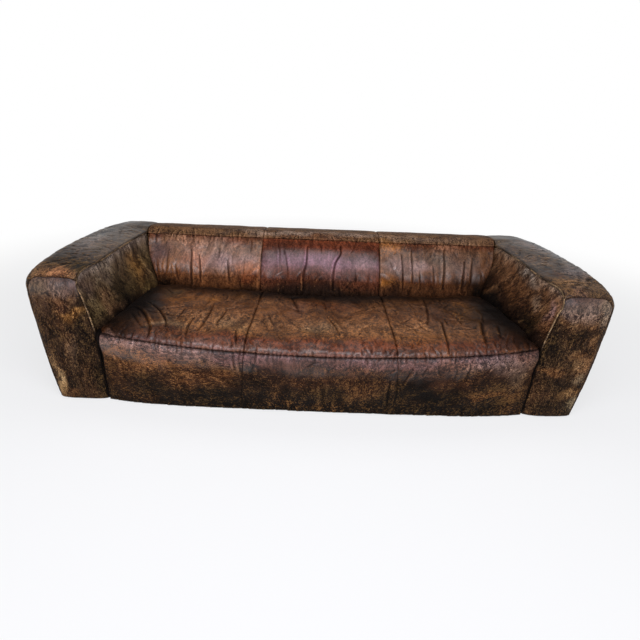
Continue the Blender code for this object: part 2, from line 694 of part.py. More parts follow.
def build_seat():
    """The seat: three tops and three front borders, the foam and the pad over the front rail."""
    grids = {}
    for third, (lo, hi) in SEAT_THIRDS.items():
        columns = seat_columns(lo, hi)
        top = seat_grid(columns)
        grids["seat_panel_" + third] = top
        grids["front_border_panel_" + third] = border_grid(columns, top[0])
    normals = common_normals(grids)
    for name, grid in grids.items():
        hide_panel(name, grid, grid - normals[name] * LEATHER)

    top, top_normal = joined("seat_panel_", SEAT_THIRDS, grids, normals)
    border, border_normal = joined("front_border_panel_", SEAT_THIRDS, grids, normals)
    hide = under(border, border_normal, BORDER_FIT)
    split = RAIL_TOP + 0.02
    foam = np.concatenate([chord(hide, split + TOUCH)[None], rows_above(hide, split + 0.01)[:-1],
                           under(top, top_normal)])
    inner = foam.copy()
    inner[:, :, 2] = FOAM_FOOT
    foam[0] = chord(hide, FOAM_FOOT)
    for i, row in enumerate(inner):
        row[:, 1] = np.maximum(row[:, 1], foam[0, :, 1] + 0.012 * (i + 1))
    slab("seat_foam", foam, inner, FOAM)

    pad = np.concatenate([hide[:1], rows_below(hide, split - 0.01)[1:], chord(hide, split)[None]])
    pad[0, :, 2] = BASE_Z
    inner = pad.copy()
    inner[:, :, 1] = FRONT_Y + RAIL_D - TOUCH
    slab("front_rail_pad", pad, inner, FOAM)


# ---- timber, springs and fittings ---------------------------------------------------------
def clip_points(x, d):
    """Outline of a steel clip that straddles a spring's end bar, as (depth, z) points."""
    leg, slot, top = 0.0070, 0.0032, RAIL_TOP + 0.0078
    foot, roof = RAIL_TOP - 0.004, RAIL_TOP + 2 * WIRE + 0.0012
    return [(d - leg, foot), (d - leg, top), (d + leg, top), (d + leg, foot),
            (d + slot, foot), (d + slot, roof), (d - slot, roof), (d - slot, foot)]


def add_clips(rail, name, d, places):
    """Fuses the spring clips to their rail."""
    mesh = bpy.data.meshes.new(name)
    shape = bmesh.new()
    for x in places:
        ring = [shape.verts.new(at(x - 0.006, depth, z)) for depth, z in clip_points(x, d)]
        face = shape.faces.new(ring)
        pushed = bmesh.ops.extrude_face_region(shape, geom=[face])
        moved = [v for v in pushed["geom"] if isinstance(v, bmesh.types.BMVert)]
        bmesh.ops.translate(shape, vec=(0.012, 0, 0), verts=moved)
    bmesh.ops.recalc_face_normals(shape, faces=shape.faces[:])
    shape.to_mesh(mesh)
    shape.free()
    clips = link(name, mesh, STEEL)
    clips.hide_render = True
    clips.display_type = "WIRE"
    union = rail.modifiers.new("clips", "BOOLEAN")
    union.operation = "UNION"
    union.solver = "EXACT"
    union.object = clips


def build_frame():
    inner_x = SIDE_RAIL_X - RAIL / 2
    rear_d = REAR_SEAM - 0.012
    spring_places = [mix(-0.93, 0.93, i / (SPRING_COUNT - 1)) for i in range(SPRING_COUNT)]
    front = box("front_rail", (-inner_x + TOUCH, RAIL_D, BASE_Z), (inner_x - TOUCH, RAIL_D + RAIL, RAIL_TOP))
    spring = box("spring_rail", (-inner_x + TOUCH, SPRING_RAIL_D - 0.02, 0.150 + TOUCH),
                 (inner_x - TOUCH, SPRING_RAIL_D + 0.02, RAIL_TOP))
    add_clips(front, "front_clips", 0.040, spring_places)
    add_clips(spring, "rear_clips", SPRING_RAIL_D, spring_places)
    box("rear_rail", (-inner_x + TOUCH, rear_d - RAIL, BASE_Z), (inner_x - TOUCH, rear_d, RAIL_TOP))
    for side, name in ((-1, "left"), (1, "right")):
        low, high = sorted((side * inner_x, side * (inner_x + RAIL)))
        box(f"side_rail_{name}", (low, RAIL_D, BASE_Z), (high, rear_d, RAIL_TOP))
        x = side * THIRD_SEAT
        box(f"stretcher_{name}", (x - RAIL / 2, RAIL_D + RAIL + TOUCH, BASE_Z),
            (x + RAIL / 2, rear_d - RAIL - TOUCH, 0.150))
        box(f"back_post_{name}", (x - 0.030, BACK_PAD_D + TOUCH, 0.150 + TOUCH),
            (x + 0.030, BACK_PAD_D + 0.045, BACK_PAD_Z - 0.030 - TOUCH))
    box("back_top_rail", (-PAD_X + TOUCH, BACK_PAD_D + TOUCH, BACK_PAD_Z - 0.030),
        (PAD_X - TOUCH, rear_d, BACK_PAD_Z - TOUCH))
    for i, x in enumerate(spring_places, 1):
        seat_spring(f"seat_spring_{i}", x)


SPRING_COUNT = 9
SPRING_WAVES = 16
SPRING_HALF = 0.024


def seat_spring(name, x):
    """A zig-zag spring from the front rail's clip to the spring rail's clip."""
    start, end = 0.040, SPRING_RAIL_D
    points = []
    for k in range(SPRING_WAVES + 1):
        t = k / SPRING_WAVES
        side = 1 if k % 2 else -1
        d = mix(start, end, t)
        z = RAIL_TOP + TOUCH + WIRE + SPRING_LEVEL * math.sin(math.pi * t) ** 0.8
        points += [at(x + side * SPRING_HALF * -1, d, z), at(x + side * SPRING_HALF, d, z)]
        if k < SPRING_WAVES:
            half = (t + 0.5 / SPRING_WAVES)
            d_half = mix(start, end, half)
            z_half = RAIL_TOP + TOUCH + WIRE + SPRING_LEVEL * math.sin(math.pi * half) ** 0.8
            points.append(at(x + side * (SPRING_HALF + 0.012), d_half, z_half))
    tube(name, points, WIRE, STEEL)


def build_underside():
    box("dust_cover", (-1.265, 0.045, BASE_Z - 0.0013), (1.265, 1.085, BASE_Z - TOUCH), CLOTH, bevel=0)
    for side, name in ((-1, "left"), (1, "right")):
        for end, d in (("front", 0.10), ("rear", 1.01)):
            glide(f"glide_{end}_{name}", side * SIDE_RAIL_X, d)


def glide(name, x, d):
    """A round plastic foot nailed under the base, turned from its profile."""
    mesh = bpy.data.meshes.new(name)
    shape = bmesh.new()
    profile = [(0.0, 0.0), (0.020, 0.0), (0.024, 0.003), (0.021, BASE_Z - 0.0016), (0.0, BASE_Z - 0.0016)]
    verts = [shape.verts.new((r, 0, z)) for r, z in profile]
    edges = [shape.edges.new(pair) for pair in zip(verts, verts[1:])]
    bmesh.ops.spin(shape, geom=verts + edges, cent=(0, 0, 0), axis=(0, 0, 1),
                   angle=2 * math.pi, steps=16, use_merge=True)
    bmesh.ops.remove_doubles(shape, verts=shape.verts, dist=1e-6)
    bmesh.ops.translate(shape, vec=tuple(at(x, d, 0)), verts=shape.verts)
    bmesh.ops.recalc_face_normals(shape, faces=shape.faces[:])
    shape.to_mesh(mesh)
    shape.free()
    return link(name, mesh, PLASTIC)


def main():
    clear_scene()
    for side in (-1, 1):
        build_arm(side)
    build_back()
    build_outside_back()
    build_seat()
    build_frame()
    build_underside()


main()
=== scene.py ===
# %% [markdown]
# # A worn leather sofa, dressed piece by piece
# The real sofa is three seats wide and stands straight on the floor. Its maker sews a skin of many
# leather panels and pulls it over foam, so all that shows is leather, seams and creases. The packed
# frame already holds every solid in its right place. This lesson loads it, covers the foam with
# softer and finer forms of the same size, and gives each panel the finish of old waxed hide.

# %% Load the frame
import math

import bmesh
import bpy
import numpy as np
from mathutils import Matrix, Vector


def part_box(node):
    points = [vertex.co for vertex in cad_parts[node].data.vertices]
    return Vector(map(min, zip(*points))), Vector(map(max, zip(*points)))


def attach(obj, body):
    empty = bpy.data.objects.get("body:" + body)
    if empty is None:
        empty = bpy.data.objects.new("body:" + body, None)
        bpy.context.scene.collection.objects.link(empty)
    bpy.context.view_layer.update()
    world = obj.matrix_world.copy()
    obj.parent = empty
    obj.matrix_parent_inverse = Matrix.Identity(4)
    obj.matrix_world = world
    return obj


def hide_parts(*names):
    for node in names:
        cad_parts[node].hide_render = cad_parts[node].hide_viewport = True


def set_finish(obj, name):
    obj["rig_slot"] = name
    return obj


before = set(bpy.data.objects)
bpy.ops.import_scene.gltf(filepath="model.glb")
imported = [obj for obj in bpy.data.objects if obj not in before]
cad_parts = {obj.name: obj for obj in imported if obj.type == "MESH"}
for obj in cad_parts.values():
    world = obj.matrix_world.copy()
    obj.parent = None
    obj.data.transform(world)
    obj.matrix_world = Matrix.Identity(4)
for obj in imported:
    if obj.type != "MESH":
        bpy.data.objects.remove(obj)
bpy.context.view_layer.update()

# %% [markdown]
# ## Sizes that come from the frame
# A cover fits only if it is cut from the sizes of the thing under it. The main lines of the sofa
# are therefore read from the solids: where the arms stop, where the seams run and how high the
# seat is. What a box can't tell, such as how an arm leans, is repeated as a short list of numbers.

# %% Read the main lines
arm_low, arm_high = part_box("arm_top_and_outside_panel_right")
rear_low, rear_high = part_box("outside_back_panel")
seat_low, seat_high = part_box("seat_panel_middle")
border_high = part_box("front_border_panel_middle")[1]
back_low, back_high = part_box("inside_back_panel_middle")

SEAM_GAP = 0.0003                                 # half the gap between two sewn panels
FRONT_SEAM = 0.006                                # the seam round an arm's front, behind that face
FRONT_Y = round(arm_low.y - FRONT_SEAM, 3)        # the plane of the arms' front faces
ARM_DEPTH = round(rear_high.y - FRONT_Y, 3)
HEIGHT = round(arm_high.z, 3)
SEAT_BOW = round(FRONT_Y - seat_low.y + SEAM_GAP, 3)   # the seat's nose stands this far in front
SEAT_CROWN = round(seat_high.z + 0.002, 3)
SEAT_SEAM_Z = round(border_high.z - 0.0013, 3)
BACK_SEAM_Z = round(back_high.z, 3)
PANEL_FOOT = round(back_low.z, 3)
HEM_Z = round(rear_low.z, 3)
print("arms", ARM_DEPTH, "deep and", HEIGHT, "high; front plane at y", FRONT_Y)
print("seat: nose", SEAT_BOW, "in front, seam at", SEAT_SEAM_Z, "and crown at", SEAT_CROWN)
print("back seam at", BACK_SEAM_Z, "; inside leather ends at", PANEL_FOOT, "; hem at", HEM_Z)

# %% [markdown]
# ## The curves that every cover follows
# Upholstery has no straight lines: the arms lean apart, the seat bows forward and the back swells
# over it. Each of those shapes is a small rule that gives a height or a depth for any place on the
# sofa. Rules are used here, not sculpting, because two panels that share a seam then share it
# exactly, at any fineness. The rules take whole arrays, so a panel of ten thousand points is quick.

# %% Small helpers for arrays
def clamp(t):
    return np.clip(t, 0.0, 1.0)


def ease(t):
    t = clamp(t)
    return t * t * (3 - 2 * t)


def turn(t):
    """A quarter circle: 1 at t = 0, where an edge begins to turn, and 0 from t = 1 on."""
    return 1 - np.sqrt(np.maximum(0.0, 1 - (1 - clamp(t)) ** 2))


def mix(a, b, t):
    return a + (b - a) * t


def at(x, d, z):
    """Points d behind the arms' front faces, as rows of x, y, z."""
    x, d, z = np.broadcast_arrays(x, d, z)
    return np.stack([x, FRONT_Y + d, z], axis=-1).astype(float)


print("ease runs", ease(np.array([0, 0.25, 0.5, 0.75, 1])).round(3))

# %% How the arms run
EDGE_ROUND, REAR_ROUND = 0.060, 0.055     # how long an arm's top takes to turn down, front and rear
SEAM_DIP, TOP_SEAM_DIP = 0.034, 0.006     # the inner seam's drop below the arm's top: along, at ends
SHOULDER_Z, SHOULDER_X = 0.625, 0.070     # where the outer side turns into the top, and how widely
OUT_FLOOR, OUT_TOP, SIDE_PUFF = 1.300, 1.345, 0.042
IN_FLOOR, IN_LEAN = 1.053, 0.062
BACK_SEAM_D = 0.858                       # the back's top seam, behind the arms' front faces


def along(d):
    """0 at an arm's ends and 1 over its middle."""
    return 1 - (2 * clamp(d / ARM_DEPTH) - 1) ** 2


def top_level(d):
    front = 0.034 * turn(d / EDGE_ROUND)
    rear = 0.065 * turn((ARM_DEPTH - d) / REAR_ROUND)
    return HEIGHT - 0.030 * (1 - along(d)) - front - rear


def seam_level(d):
    """Height of an arm's inner seam, which nears the top at the front and beside the back."""
    away = np.minimum(ease(d / 0.30), 1 - ease((d - BACK_SEAM_D) / 0.06))
    return top_level(d) - mix(TOP_SEAM_DIP, SEAM_DIP, away)


def inner_side(d, z, side):
    """Half the clear width between the arms: they lean apart, and swell over the seat."""
    swell = 0.012 + 0.030 * ease(d / 0.08) + 0.040 * clamp(d / 0.62) ** 1.5
    swell = swell + np.where(np.asarray(side) < 0, 0.008, -0.012) * np.sin(math.pi * clamp(d / 0.62))
    reach = clamp(np.abs(z - 0.37) / 0.24)
    lean = IN_LEAN * clamp(z / HEIGHT) ** 1.3
    return IN_FLOOR + lean - swell * np.cos(reach * math.pi / 2) ** 2 - 0.012 * turn(d / 0.05)


def outer_side(d, z):
    rise = 1 - (1 - clamp(z / SHOULDER_Z)) ** 2
    puff = SIDE_PUFF * (1 - (1 - along(d)) ** 2) * np.sin(math.pi * clamp(z / HEIGHT) * 0.75)
    x = mix(OUT_FLOOR, OUT_TOP, rise) + puff
    return x - 0.030 * turn(d / 0.035) - 0.050 * turn((ARM_DEPTH - d) / 0.070)


print("half the clear width at the seat:", float(inner_side(0.3, 0.4, 1)).__round__(3),
      "and half the whole width:", float(outer_side(0.56, 0.5)).__round__(3))

# %% How the back and the seat run
SEAT_REAR_Z, NOSE = 0.377, 0.150          # the seat's height at the back, and its nose's depth
THIRD_SEAT, THIRD_BACK = 0.345, 0.370     # half the middle panel's width, seat and back
SEAM_DRIFT, BORDER_SPLAY = 0.020, 0.045   # how the seat's seams have crept and the border's spread
CREVICE = 0.006                           # clearance between seat, back and arms
SIDE_MARK = 1.02                          # a column mark that stands for the arm's inner side
REAR_SEAM = ARM_DEPTH - 0.0015 - 2 * SEAM_GAP


def back_face(x, z):
    """Depth of the inside back at a height: it leans back and bulges over the seat."""
    s = clamp((BACK_SEAM_Z - z) / (BACK_SEAM_Z - PANEL_FOOT))
    middle = 1 - clamp(np.abs(x) / 1.05) ** 2
    reach, power = mix(0.198, 0.300, middle ** 2.5), mix(1.5, 1.0, middle)
    d = BACK_SEAM_D - reach * np.sin(np.minimum(s / 0.85, 1.0) * math.pi / 2) ** power
    return d + 0.05 * clamp((s - 0.85) / 0.15) ** 2


def back_top(t):
    """(depth, height) over the top of the back, from its front seam to its rear seam."""
    d = mix(BACK_SEAM_D, REAR_SEAM, t)
    return d, mix(BACK_SEAM_Z, top_level(d) - TOP_SEAM_DIP, ease(t / 0.25)) + 0.006 * np.sin(math.pi * t)


def seat_bow(x):
    return SEAT_BOW * (1 - clamp(np.abs(x) / 1.045) ** 2) ** 0.8


def seat_seam(x):
    return SEAT_SEAM_Z + 0.012 * clamp(np.abs(x) / 1.03) ** 2


def seat_end(side, d, z):
    """x of the seat's end: it keeps clear of the arm, and draws in at the front corner."""
    drawn = np.where(side < 0, 0.028, 0.012) * (1 - ease((d + 0.02) / 0.12)) * clamp(z / SEAT_SEAM_Z)
    return side * (inner_side(np.maximum(d, 0.0), z, side) - CREVICE - drawn)


def seat_top(x, d, end):
    """Height of the seat: a rounded nose, a dish in each third, falling to the sides and rear."""
    seam, from_nose = seat_seam(x), d + seat_bow(x)
    z = mix(seam, SEAT_CROWN, 1 - turn(from_nose / NOSE))
    z = z - (SEAT_CROWN - SEAT_REAR_Z) * turn((back_face(x, SEAT_REAR_Z) - CREVICE - d) / 0.20)
    z = z - 0.030 * turn((np.abs(end) - np.abs(x)) / 0.12) * ease((d + 0.02) / 0.1)
    third = np.abs((np.abs(x) + THIRD_SEAT) % (2 * THIRD_SEAT) - THIRD_SEAT) / THIRD_SEAT
    return np.maximum(seam, z - 0.010 * (1 - third ** 2) * ease(from_nose / 0.2))


def seat_front(x, z):
    """Depth of the front border at a height: it bellies forward and tucks in at the floor."""
    s = clamp((z - HEM_Z) / (seat_seam(x) - HEM_Z))
    foot = 0.040 * (1 - clamp(np.abs(x) / 1.06) ** 4)
    belly = 0.016 * np.sin(math.pi * s ** 1.4)
    return -mix(foot, seat_bow(x), s ** 1.15) - belly * (1 - clamp(np.abs(x) / 1.06) ** 6)


def stretched(mark, third, end):
    """x of a column mark. Marks inside the middle third stay, and the side marks land on the arm."""
    side = np.where(mark < 0, -1.0, 1.0)
    share = clamp((np.abs(mark) - third) / (SIDE_MARK - third))
    return np.where(np.abs(mark) <= third, mark, side * mix(third, np.abs(end), share))


def drifted(mark, end):
    return stretched(mark, THIRD_SEAT, end) + SEAM_DRIFT * (1 - np.abs(mark) / SIDE_MARK)


print("the seat is", round(float(back_face(0.0, SEAT_REAR_Z) + SEAT_BOW), 3), "deep at the middle")

# %% [markdown]
# ## Even grids over each part
# Leather stretches evenly, and so should its mesh: a point every four millimetres is fine
# enough for a crease. Each part is laid out once as a grid, seat and front border together, inside
# back and back top together, arm by arm. A grid that runs over its seams has the same normals on
# both sides of them, so the panels that are cut from it later still meet.

# %% Tools for grids
def unit(vectors):
    return vectors / np.maximum(np.linalg.norm(vectors, axis=-1, keepdims=True), 1e-9)


def lengths(points):
    """Distance run along the first axis of a grid, in metres, starting at 0."""
    steps = np.linalg.norm(np.diff(points, axis=0), axis=-1)
    return np.concatenate([np.zeros((1,) + steps.shape[1:]), np.cumsum(steps, axis=0)])


def lengths_across(points):
    """The same along the second axis."""
    return np.moveaxis(lengths(np.moveaxis(points, 1, 0)), 0, 1)


def even(shape, cells):
    """Values of t from 0 to 1 at which a line of points is evenly spaced."""
    t = np.linspace(0, 1, 600)
    run = lengths(shape(t))
    return np.interp(np.linspace(0, run[-1], cells + 1), run, t)


def normals_of(grid):
    """Unit normals of a grid whose rows go up and whose columns go right, seen from outside."""
    return unit(np.cross(np.gradient(grid, axis=1), np.gradient(grid, axis=0)))


def thirds(third, side_cells, middle_cells):
    """Column marks over three panels, and the slice of columns that each panel takes."""
    left = np.linspace(-SIDE_MARK, -third, side_cells + 1)
    middle = np.linspace(-third, third, middle_cells + 1)
    marks = np.concatenate([left, middle[1:], -left[::-1][1:]])
    a, b = side_cells, side_cells + middle_cells
    return marks, {"left": slice(0, a + 1), "middle": slice(a, b + 1), "right": slice(b, len(marks))}


def quads(rows, columns, first=0):
    """The faces of a grid, as four point numbers each, counted from first on."""
    i, j = np.meshgrid(range(rows - 1), range(columns - 1), indexing="ij")
    a = (first + i * columns + j).ravel()
    return np.stack([a, a + 1, a + 1 + columns, a + columns], 1)


def mesh_object(name, points, faces):
    """A smooth object in the scene, from points in metres and the numbers of each face's corners."""
    mesh = bpy.data.meshes.new(name)
    mesh.from_pydata(np.reshape(points, (-1, 3)).astype(float).tolist(), [], faces)
    mesh.shade_smooth()
    made = bpy.data.objects.new(name, mesh)
    bpy.context.scene.collection.objects.link(made)
    return made


print("12 cells over a quarter circle, cut evenly:",
      even(lambda t: np.stack([np.sqrt(t), 1 - np.sqrt(1 - t)], -1), 12).round(2))

# %% The seat and its front border
SEAT_CELLS, BORDER_CELLS = 176, 92
seat_marks, seat_thirds = thirds(THIRD_SEAT, 164, 164)


def seat_points(mark, t):
    """The seat from its rear, t = 0, to its front seam, t = 1."""
    side, x = np.where(mark < 0, -1.0, 1.0), mark + 0 * t
    for _ in range(5):
        d = mix(back_face(x, SEAT_REAR_Z) - CREVICE, -seat_bow(x), t)
        end = seat_end(side, d, SEAT_SEAM_Z)
        x = drifted(mark, end)
    return at(x, d, seat_top(x, d, end))


def border_points(mark, t):
    """The front border from the seam, t = 0, to its hem."""
    side, seam = np.where(mark < 0, -1.0, 1.0), seat_points(mark, 1.0 + 0 * t)
    z = mix(seam[..., 2], HEM_Z, t)
    x = drifted(mark, seat_end(side, 0.0, z))
    x = x + (seam[..., 0] - drifted(mark, seat_end(side, 0.0, seam[..., 2]))) * (1 - ease(t / 0.15))
    splay = BORDER_SPLAY * t * np.sin(math.pi * clamp(np.abs(x) / 1.04))
    return at(x + np.where(x < 0, -splay, splay), seat_front(x, z), z)


seat_t = even(lambda t: seat_points(0.0, t), SEAT_CELLS)
border_t = np.linspace(0, 1, BORDER_CELLS + 1)
seat_grid = np.concatenate([seat_points(seat_marks, seat_t[:, None]),
                            border_points(seat_marks, border_t[1:, None])])[::-1]
seat_normal = normals_of(seat_grid)
print("seat and border:", seat_grid.shape[:2], "points,",
      round(float(lengths(seat_grid[:, len(seat_marks) // 2])[-1]), 3), "m from hem to rear at the middle")

# %% The inside back and the back's top
FACE_CELLS, CROWN_CELLS = 116, 48
back_marks, back_thirds = thirds(THIRD_BACK, 152, 176)


def back_points(mark, z):
    side = np.where(mark < 0, -1.0, 1.0)
    end = side * (inner_side(back_face(mark, z), z, side) - CREVICE)
    fallen = (BACK_SEAM_Z - z) / (BACK_SEAM_Z - PANEL_FOOT)
    x = stretched(mark, THIRD_BACK, end) * (1 - 0.05 * fallen * (1 - (mark / SIDE_MARK) ** 2))
    return at(x, back_face(mark, z), z)


def crown_points(mark, t):
    """The back's top, from its front seam, t = 0, to the rear seam."""
    d, z = back_top(t)
    side, front = np.where(mark < 0, -1.0, 1.0), back_points(mark, BACK_SEAM_Z + 0 * t)
    x = stretched(mark, THIRD_BACK, side * (inner_side(d, seam_level(d), side) - 2 * SEAM_GAP))
    return at(mix(front[..., 0], x, ease(t / 0.1)), d + 0 * mark, z + 0 * mark)


face_t = even(lambda t: back_points(0.0, mix(PANEL_FOOT, BACK_SEAM_Z, t)), FACE_CELLS)
crown_t = even(lambda t: crown_points(0.0, t), CROWN_CELLS)
back_grid = np.concatenate([back_points(back_marks, mix(PANEL_FOOT, BACK_SEAM_Z, face_t[:, None])),
                            crown_points(back_marks, crown_t[1:, None])])
back_normal = normals_of(back_grid)
print("back:", back_grid.shape[:2], "points")

# %% An arm: inner side, front face, and the sheet over its top and outer side
INNER_CELLS, OVER_CELLS, RUN_CELLS, FACE_COLUMNS = 60, 124, 144, 52
over_d = mix(FRONT_SEAM, REAR_SEAM, np.linspace(0, 1, RUN_CELLS + 1))
inner_count = int(round((BACK_SEAM_D - FRONT_SEAM) / (REAR_SEAM - FRONT_SEAM) * RUN_CELLS / 4)) * 4
inner_d = np.linspace(FRONT_SEAM, BACK_SEAM_D, inner_count + 1)


def over_points(d, t, side):
    """Round an arm at depth d: t 0 at the inner seam, 0.22 and 0.36 round the shoulder, 1 at the hem."""
    top, seam = top_level(d), seam_level(d)
    shoulder = top - (HEIGHT - SHOULDER_Z)
    x_in, x_out = inner_side(d, seam, side), outer_side(d, shoulder)
    flat, bend, fall = clamp(t / 0.22), clamp((t - 0.22) / 0.14), clamp((t - 0.36) / 0.64)
    a = math.pi / 2 * (1 - bend)
    x = mix(x_in, x_out - SHOULDER_X, flat) + SHOULDER_X * np.cos(a) ** 0.85 * (bend > 0)
    z = mix(seam, top, np.sqrt(flat)) + 0.003 * np.sin(math.pi * flat)
    z = z - (top - shoulder) * (1 - np.sin(a) ** 0.85)
    z = np.where(fall > 0, mix(shoulder, HEM_Z, fall), z)
    x = np.where(fall > 0, outer_side(d, z), x)
    return at(x, d + 0 * x, z)


def inner_points(d, t, side):
    """The inner side of an arm, from the foot of its leather, t = 0, to its seam."""
    z = mix(PANEL_FOOT, seam_level(d), t)
    return at(inner_side(d, z, side), d + 0 * z, z)


def face_points(u, v, side):
    """The front face: u from the inner to the outer edge, v from the hem to the top."""
    inner_z = mix(HEM_Z, seam_level(FRONT_SEAM), v)
    left = at(inner_side(FRONT_SEAM, inner_z, side), FRONT_SEAM + 0 * v, inner_z)
    right = over_points(FRONT_SEAM, mix(1.0, 0.29, v), side)
    top = over_points(FRONT_SEAM, mix(0.0, 0.29, u), side)
    bottom = mix(at(inner_side(FRONT_SEAM, HEM_Z, side), FRONT_SEAM, HEM_Z),
                 over_points(FRONT_SEAM, 1.0, side), u[..., None])
    ruled = mix(bottom, top, v[..., None]) + mix(left, right, u[..., None])
    ends = [at(inner_side(FRONT_SEAM, z, side), FRONT_SEAM, z) for z in (HEM_Z, seam_level(FRONT_SEAM))]
    outer = [over_points(FRONT_SEAM, t, side) for t in (1.0, 0.29)]
    corners = mix(mix(ends[0], outer[0], u[..., None]), mix(ends[1], outer[1], u[..., None]), v[..., None])
    patch = ruled - corners
    patch[..., 1] -= 0.020 * (4 * u * (1 - u)) ** 0.7 * np.minimum(1, 5 * (1 - v)) * (0.6 + 0.4 * v)
    return patch


def softened(points):
    """Rolls an arm's upper front edge back, and cuts the corner where its welt turns down."""
    x, d, z = points[..., 0], points[..., 1] - FRONT_Y, points[..., 2]
    upper, front = ease((z - 0.57) / 0.12) ** 2, ease(1 - d / 0.16)
    d = d + 0.026 * upper * front
    near = np.sqrt(((x - IN_FLOOR - 0.035) / 0.065) ** 2 + ((z - 0.625) / 0.070) ** 2 + (d / 0.11) ** 2)
    corner = ease(1 - near)
    return np.stack([x + 0.010 * corner, FRONT_Y + d, z - 0.003 * upper * front - 0.014 * corner], -1)


inner_t = np.linspace(0, 1, INNER_CELLS + 1)
over_t = even(lambda t: over_points(0.5, t, 1), OVER_CELLS)
arm_grids = {}
for side, name in ((-1, "left"), (1, "right")):
    over = over_points(over_d, over_t[:, None], side)
    inner = inner_points(inner_d, inner_t[:, None], side)
    up = even(lambda v: face_points(0.5 + 0 * v, v, side), 112)
    face = face_points(*np.meshgrid(np.linspace(0, 1, FACE_COLUMNS + 1), up), side)
    arm_grids[name] = {"over": softened(over), "inner": softened(inner), "face": softened(face),
                       "face_v": up}
print("arm: over", arm_grids["left"]["over"].shape[:2], "inner", arm_grids["left"]["inner"].shape[:2],
      "face", arm_grids["left"]["face"].shape[:2])

# %% [markdown]
# ## Creases, gathers and soft waves
# A seat that has been sat on for years is never smooth. Three things mark it: long creases where
# the leather has folded, short gathers where a seam pulls it together, and slow waves where the
# filling has settled. Sculpting them by hand would not survive a change of size, so each crease is
# a line of points on the opened-out leather, in millimetres: across the sofa, and along the leather
# from its seam. A crease is a rounded groove, and beside it the pushed-up leather stands as a ridge.

# %% A crease
def rounded(points):
    """Cuts the corners of a line of points twice, so that a crease bends softly."""
    line = np.array(points, float)
    for _ in range(2 if len(line) > 2 else 0):
        near, far = mix(line[:-1], line[1:], 0.25), mix(line[:-1], line[1:], 0.75)
        cut = np.stack([near, far], 1).reshape(-1, line.shape[1])
        line = np.concatenate([line[:1], cut, line[-1:]])
    return line


SHARPER = 0.50                            # how much of a crease's drawn width its bottom takes


def crease(u, v, points, deep, wide, ridge):
    """Height of one crease. A positive ridge stands on the right of the line's direction."""
    line = rounded(points)
    low, high = line.min(axis=0) - 6 * wide, line.max(axis=0) + 6 * wide
    near = np.nonzero((u > low[0]) & (u < high[0]) & (v > low[1]) & (v < high[1]))
    height = np.zeros(u.shape)
    if len(near[0]):
        height[near] = crease_profile(u[near], v[near], line, deep, wide, ridge)
    return height


def crease_profile(u, v, line, deep, wide, ridge):
    """The same, worked out only at the points that lie near the line."""
    runs = lengths(line)
    nearest, side, share = np.full(u.shape, 9.0), np.zeros(u.shape), np.zeros(u.shape)
    for (a, b), (c, d), run in zip(line, line[1:], runs):
        size = math.hypot(c - a, d - b)
        t = clamp(((u - a) * (c - a) + (v - b) * (d - b)) / size ** 2)
        x, y = u - mix(a, c, t), v - mix(b, d, t)
        away = np.hypot(x, y)
        closer = away < nearest
        nearest = np.where(closer, away, nearest)
        side = np.where(closer, np.sign(x * (d - b) - y * (c - a)), side)
        share = np.where(closer, (run + t * size) / runs[-1], share)
    fade = np.sin(math.pi * clamp(0.06 + 0.88 * share)) ** 0.6
    off, wide = nearest * side * np.sign(ridge), SHARPER * wide
    groove = 0.65 * np.exp(-(nearest / wide) ** 2) + 0.35 * np.exp(-nearest / (1.6 * wide))
    lifted = np.exp(-((off - 2.6 * wide) / (1.7 * wide)) ** 2)
    return deep * fade * (0.75 * abs(ridge) * lifted - groove)


def draw_creases(height, u, v, creases):
    """Adds drawn creases, each (points, depth, width, ridge) in millimetres, to a map of heights."""
    for points, deep, wide, ridge in creases:
        height += crease(u, v, np.array(points) / 1000, deep / 1000, wide / 1000, ridge)


print("a corner of three points is rounded to", len(rounded([(0, 0), (1, 0), (1, 1)])), "points")

# %% Waves, rucks, crinkles and gathers
def waves(u, v, size, seed, stretch=1.0):
    """Soft random hills about size across, from -1 to 1, drawn out along v by stretch."""
    table = np.random.default_rng(seed).uniform(-1, 1, (160, 160))
    a, b = u / size + 71.3, v / (size * stretch) + 64.7
    i, j = np.floor(a).astype(int), np.floor(b).astype(int)
    s, t = ease(a - i), ease(b - j)
    corner = [[table[(i + p) % 160, (j + q) % 160] for q in (0, 1)] for p in (0, 1)]
    return mix(mix(corner[0][0], corner[1][0], s), mix(corner[0][1], corner[1][1], s), t)


def rucks(u, v, size, seed, stretch=3.0, lean=0.0):
    """Fine rucks from 0 to 1: round backs drawn out along v, with sharp valleys between them."""
    bent = u + lean * v + 0.5 * size * waves(u, v, 2.6 * size, seed + 100)
    worked = ease(0.5 + 0.9 * waves(u, v, 4.5 * size, seed + 200))
    return mix(0.5, np.minimum(1.0, 1.7 * np.abs(waves(bent, v, size, seed, stretch))), worked)


def crinkles(u, v, box, count, long, deep, seed, lean=0.5):
    """Many small creases at random places in a box, most of them running along v."""
    random = np.random.default_rng(seed)
    height = np.zeros(u.shape)
    for _ in range(count):
        a, b = random.uniform(box[0], box[1]), random.uniform(box[2], box[3])
        size, slant = long * random.uniform(0.5, 1.6), lean * random.normal()
        bow = 0.25 * random.normal()
        line = [(a, b), (a + slant * size / 2 + bow * size, b + size / 2), (a + slant * size, b + size)]
        height += crease(u, v, line, deep * random.uniform(0.4, 1.3), random.uniform(0.006, 0.010),
                         random.choice([-0.9, 0.9]))
    return height


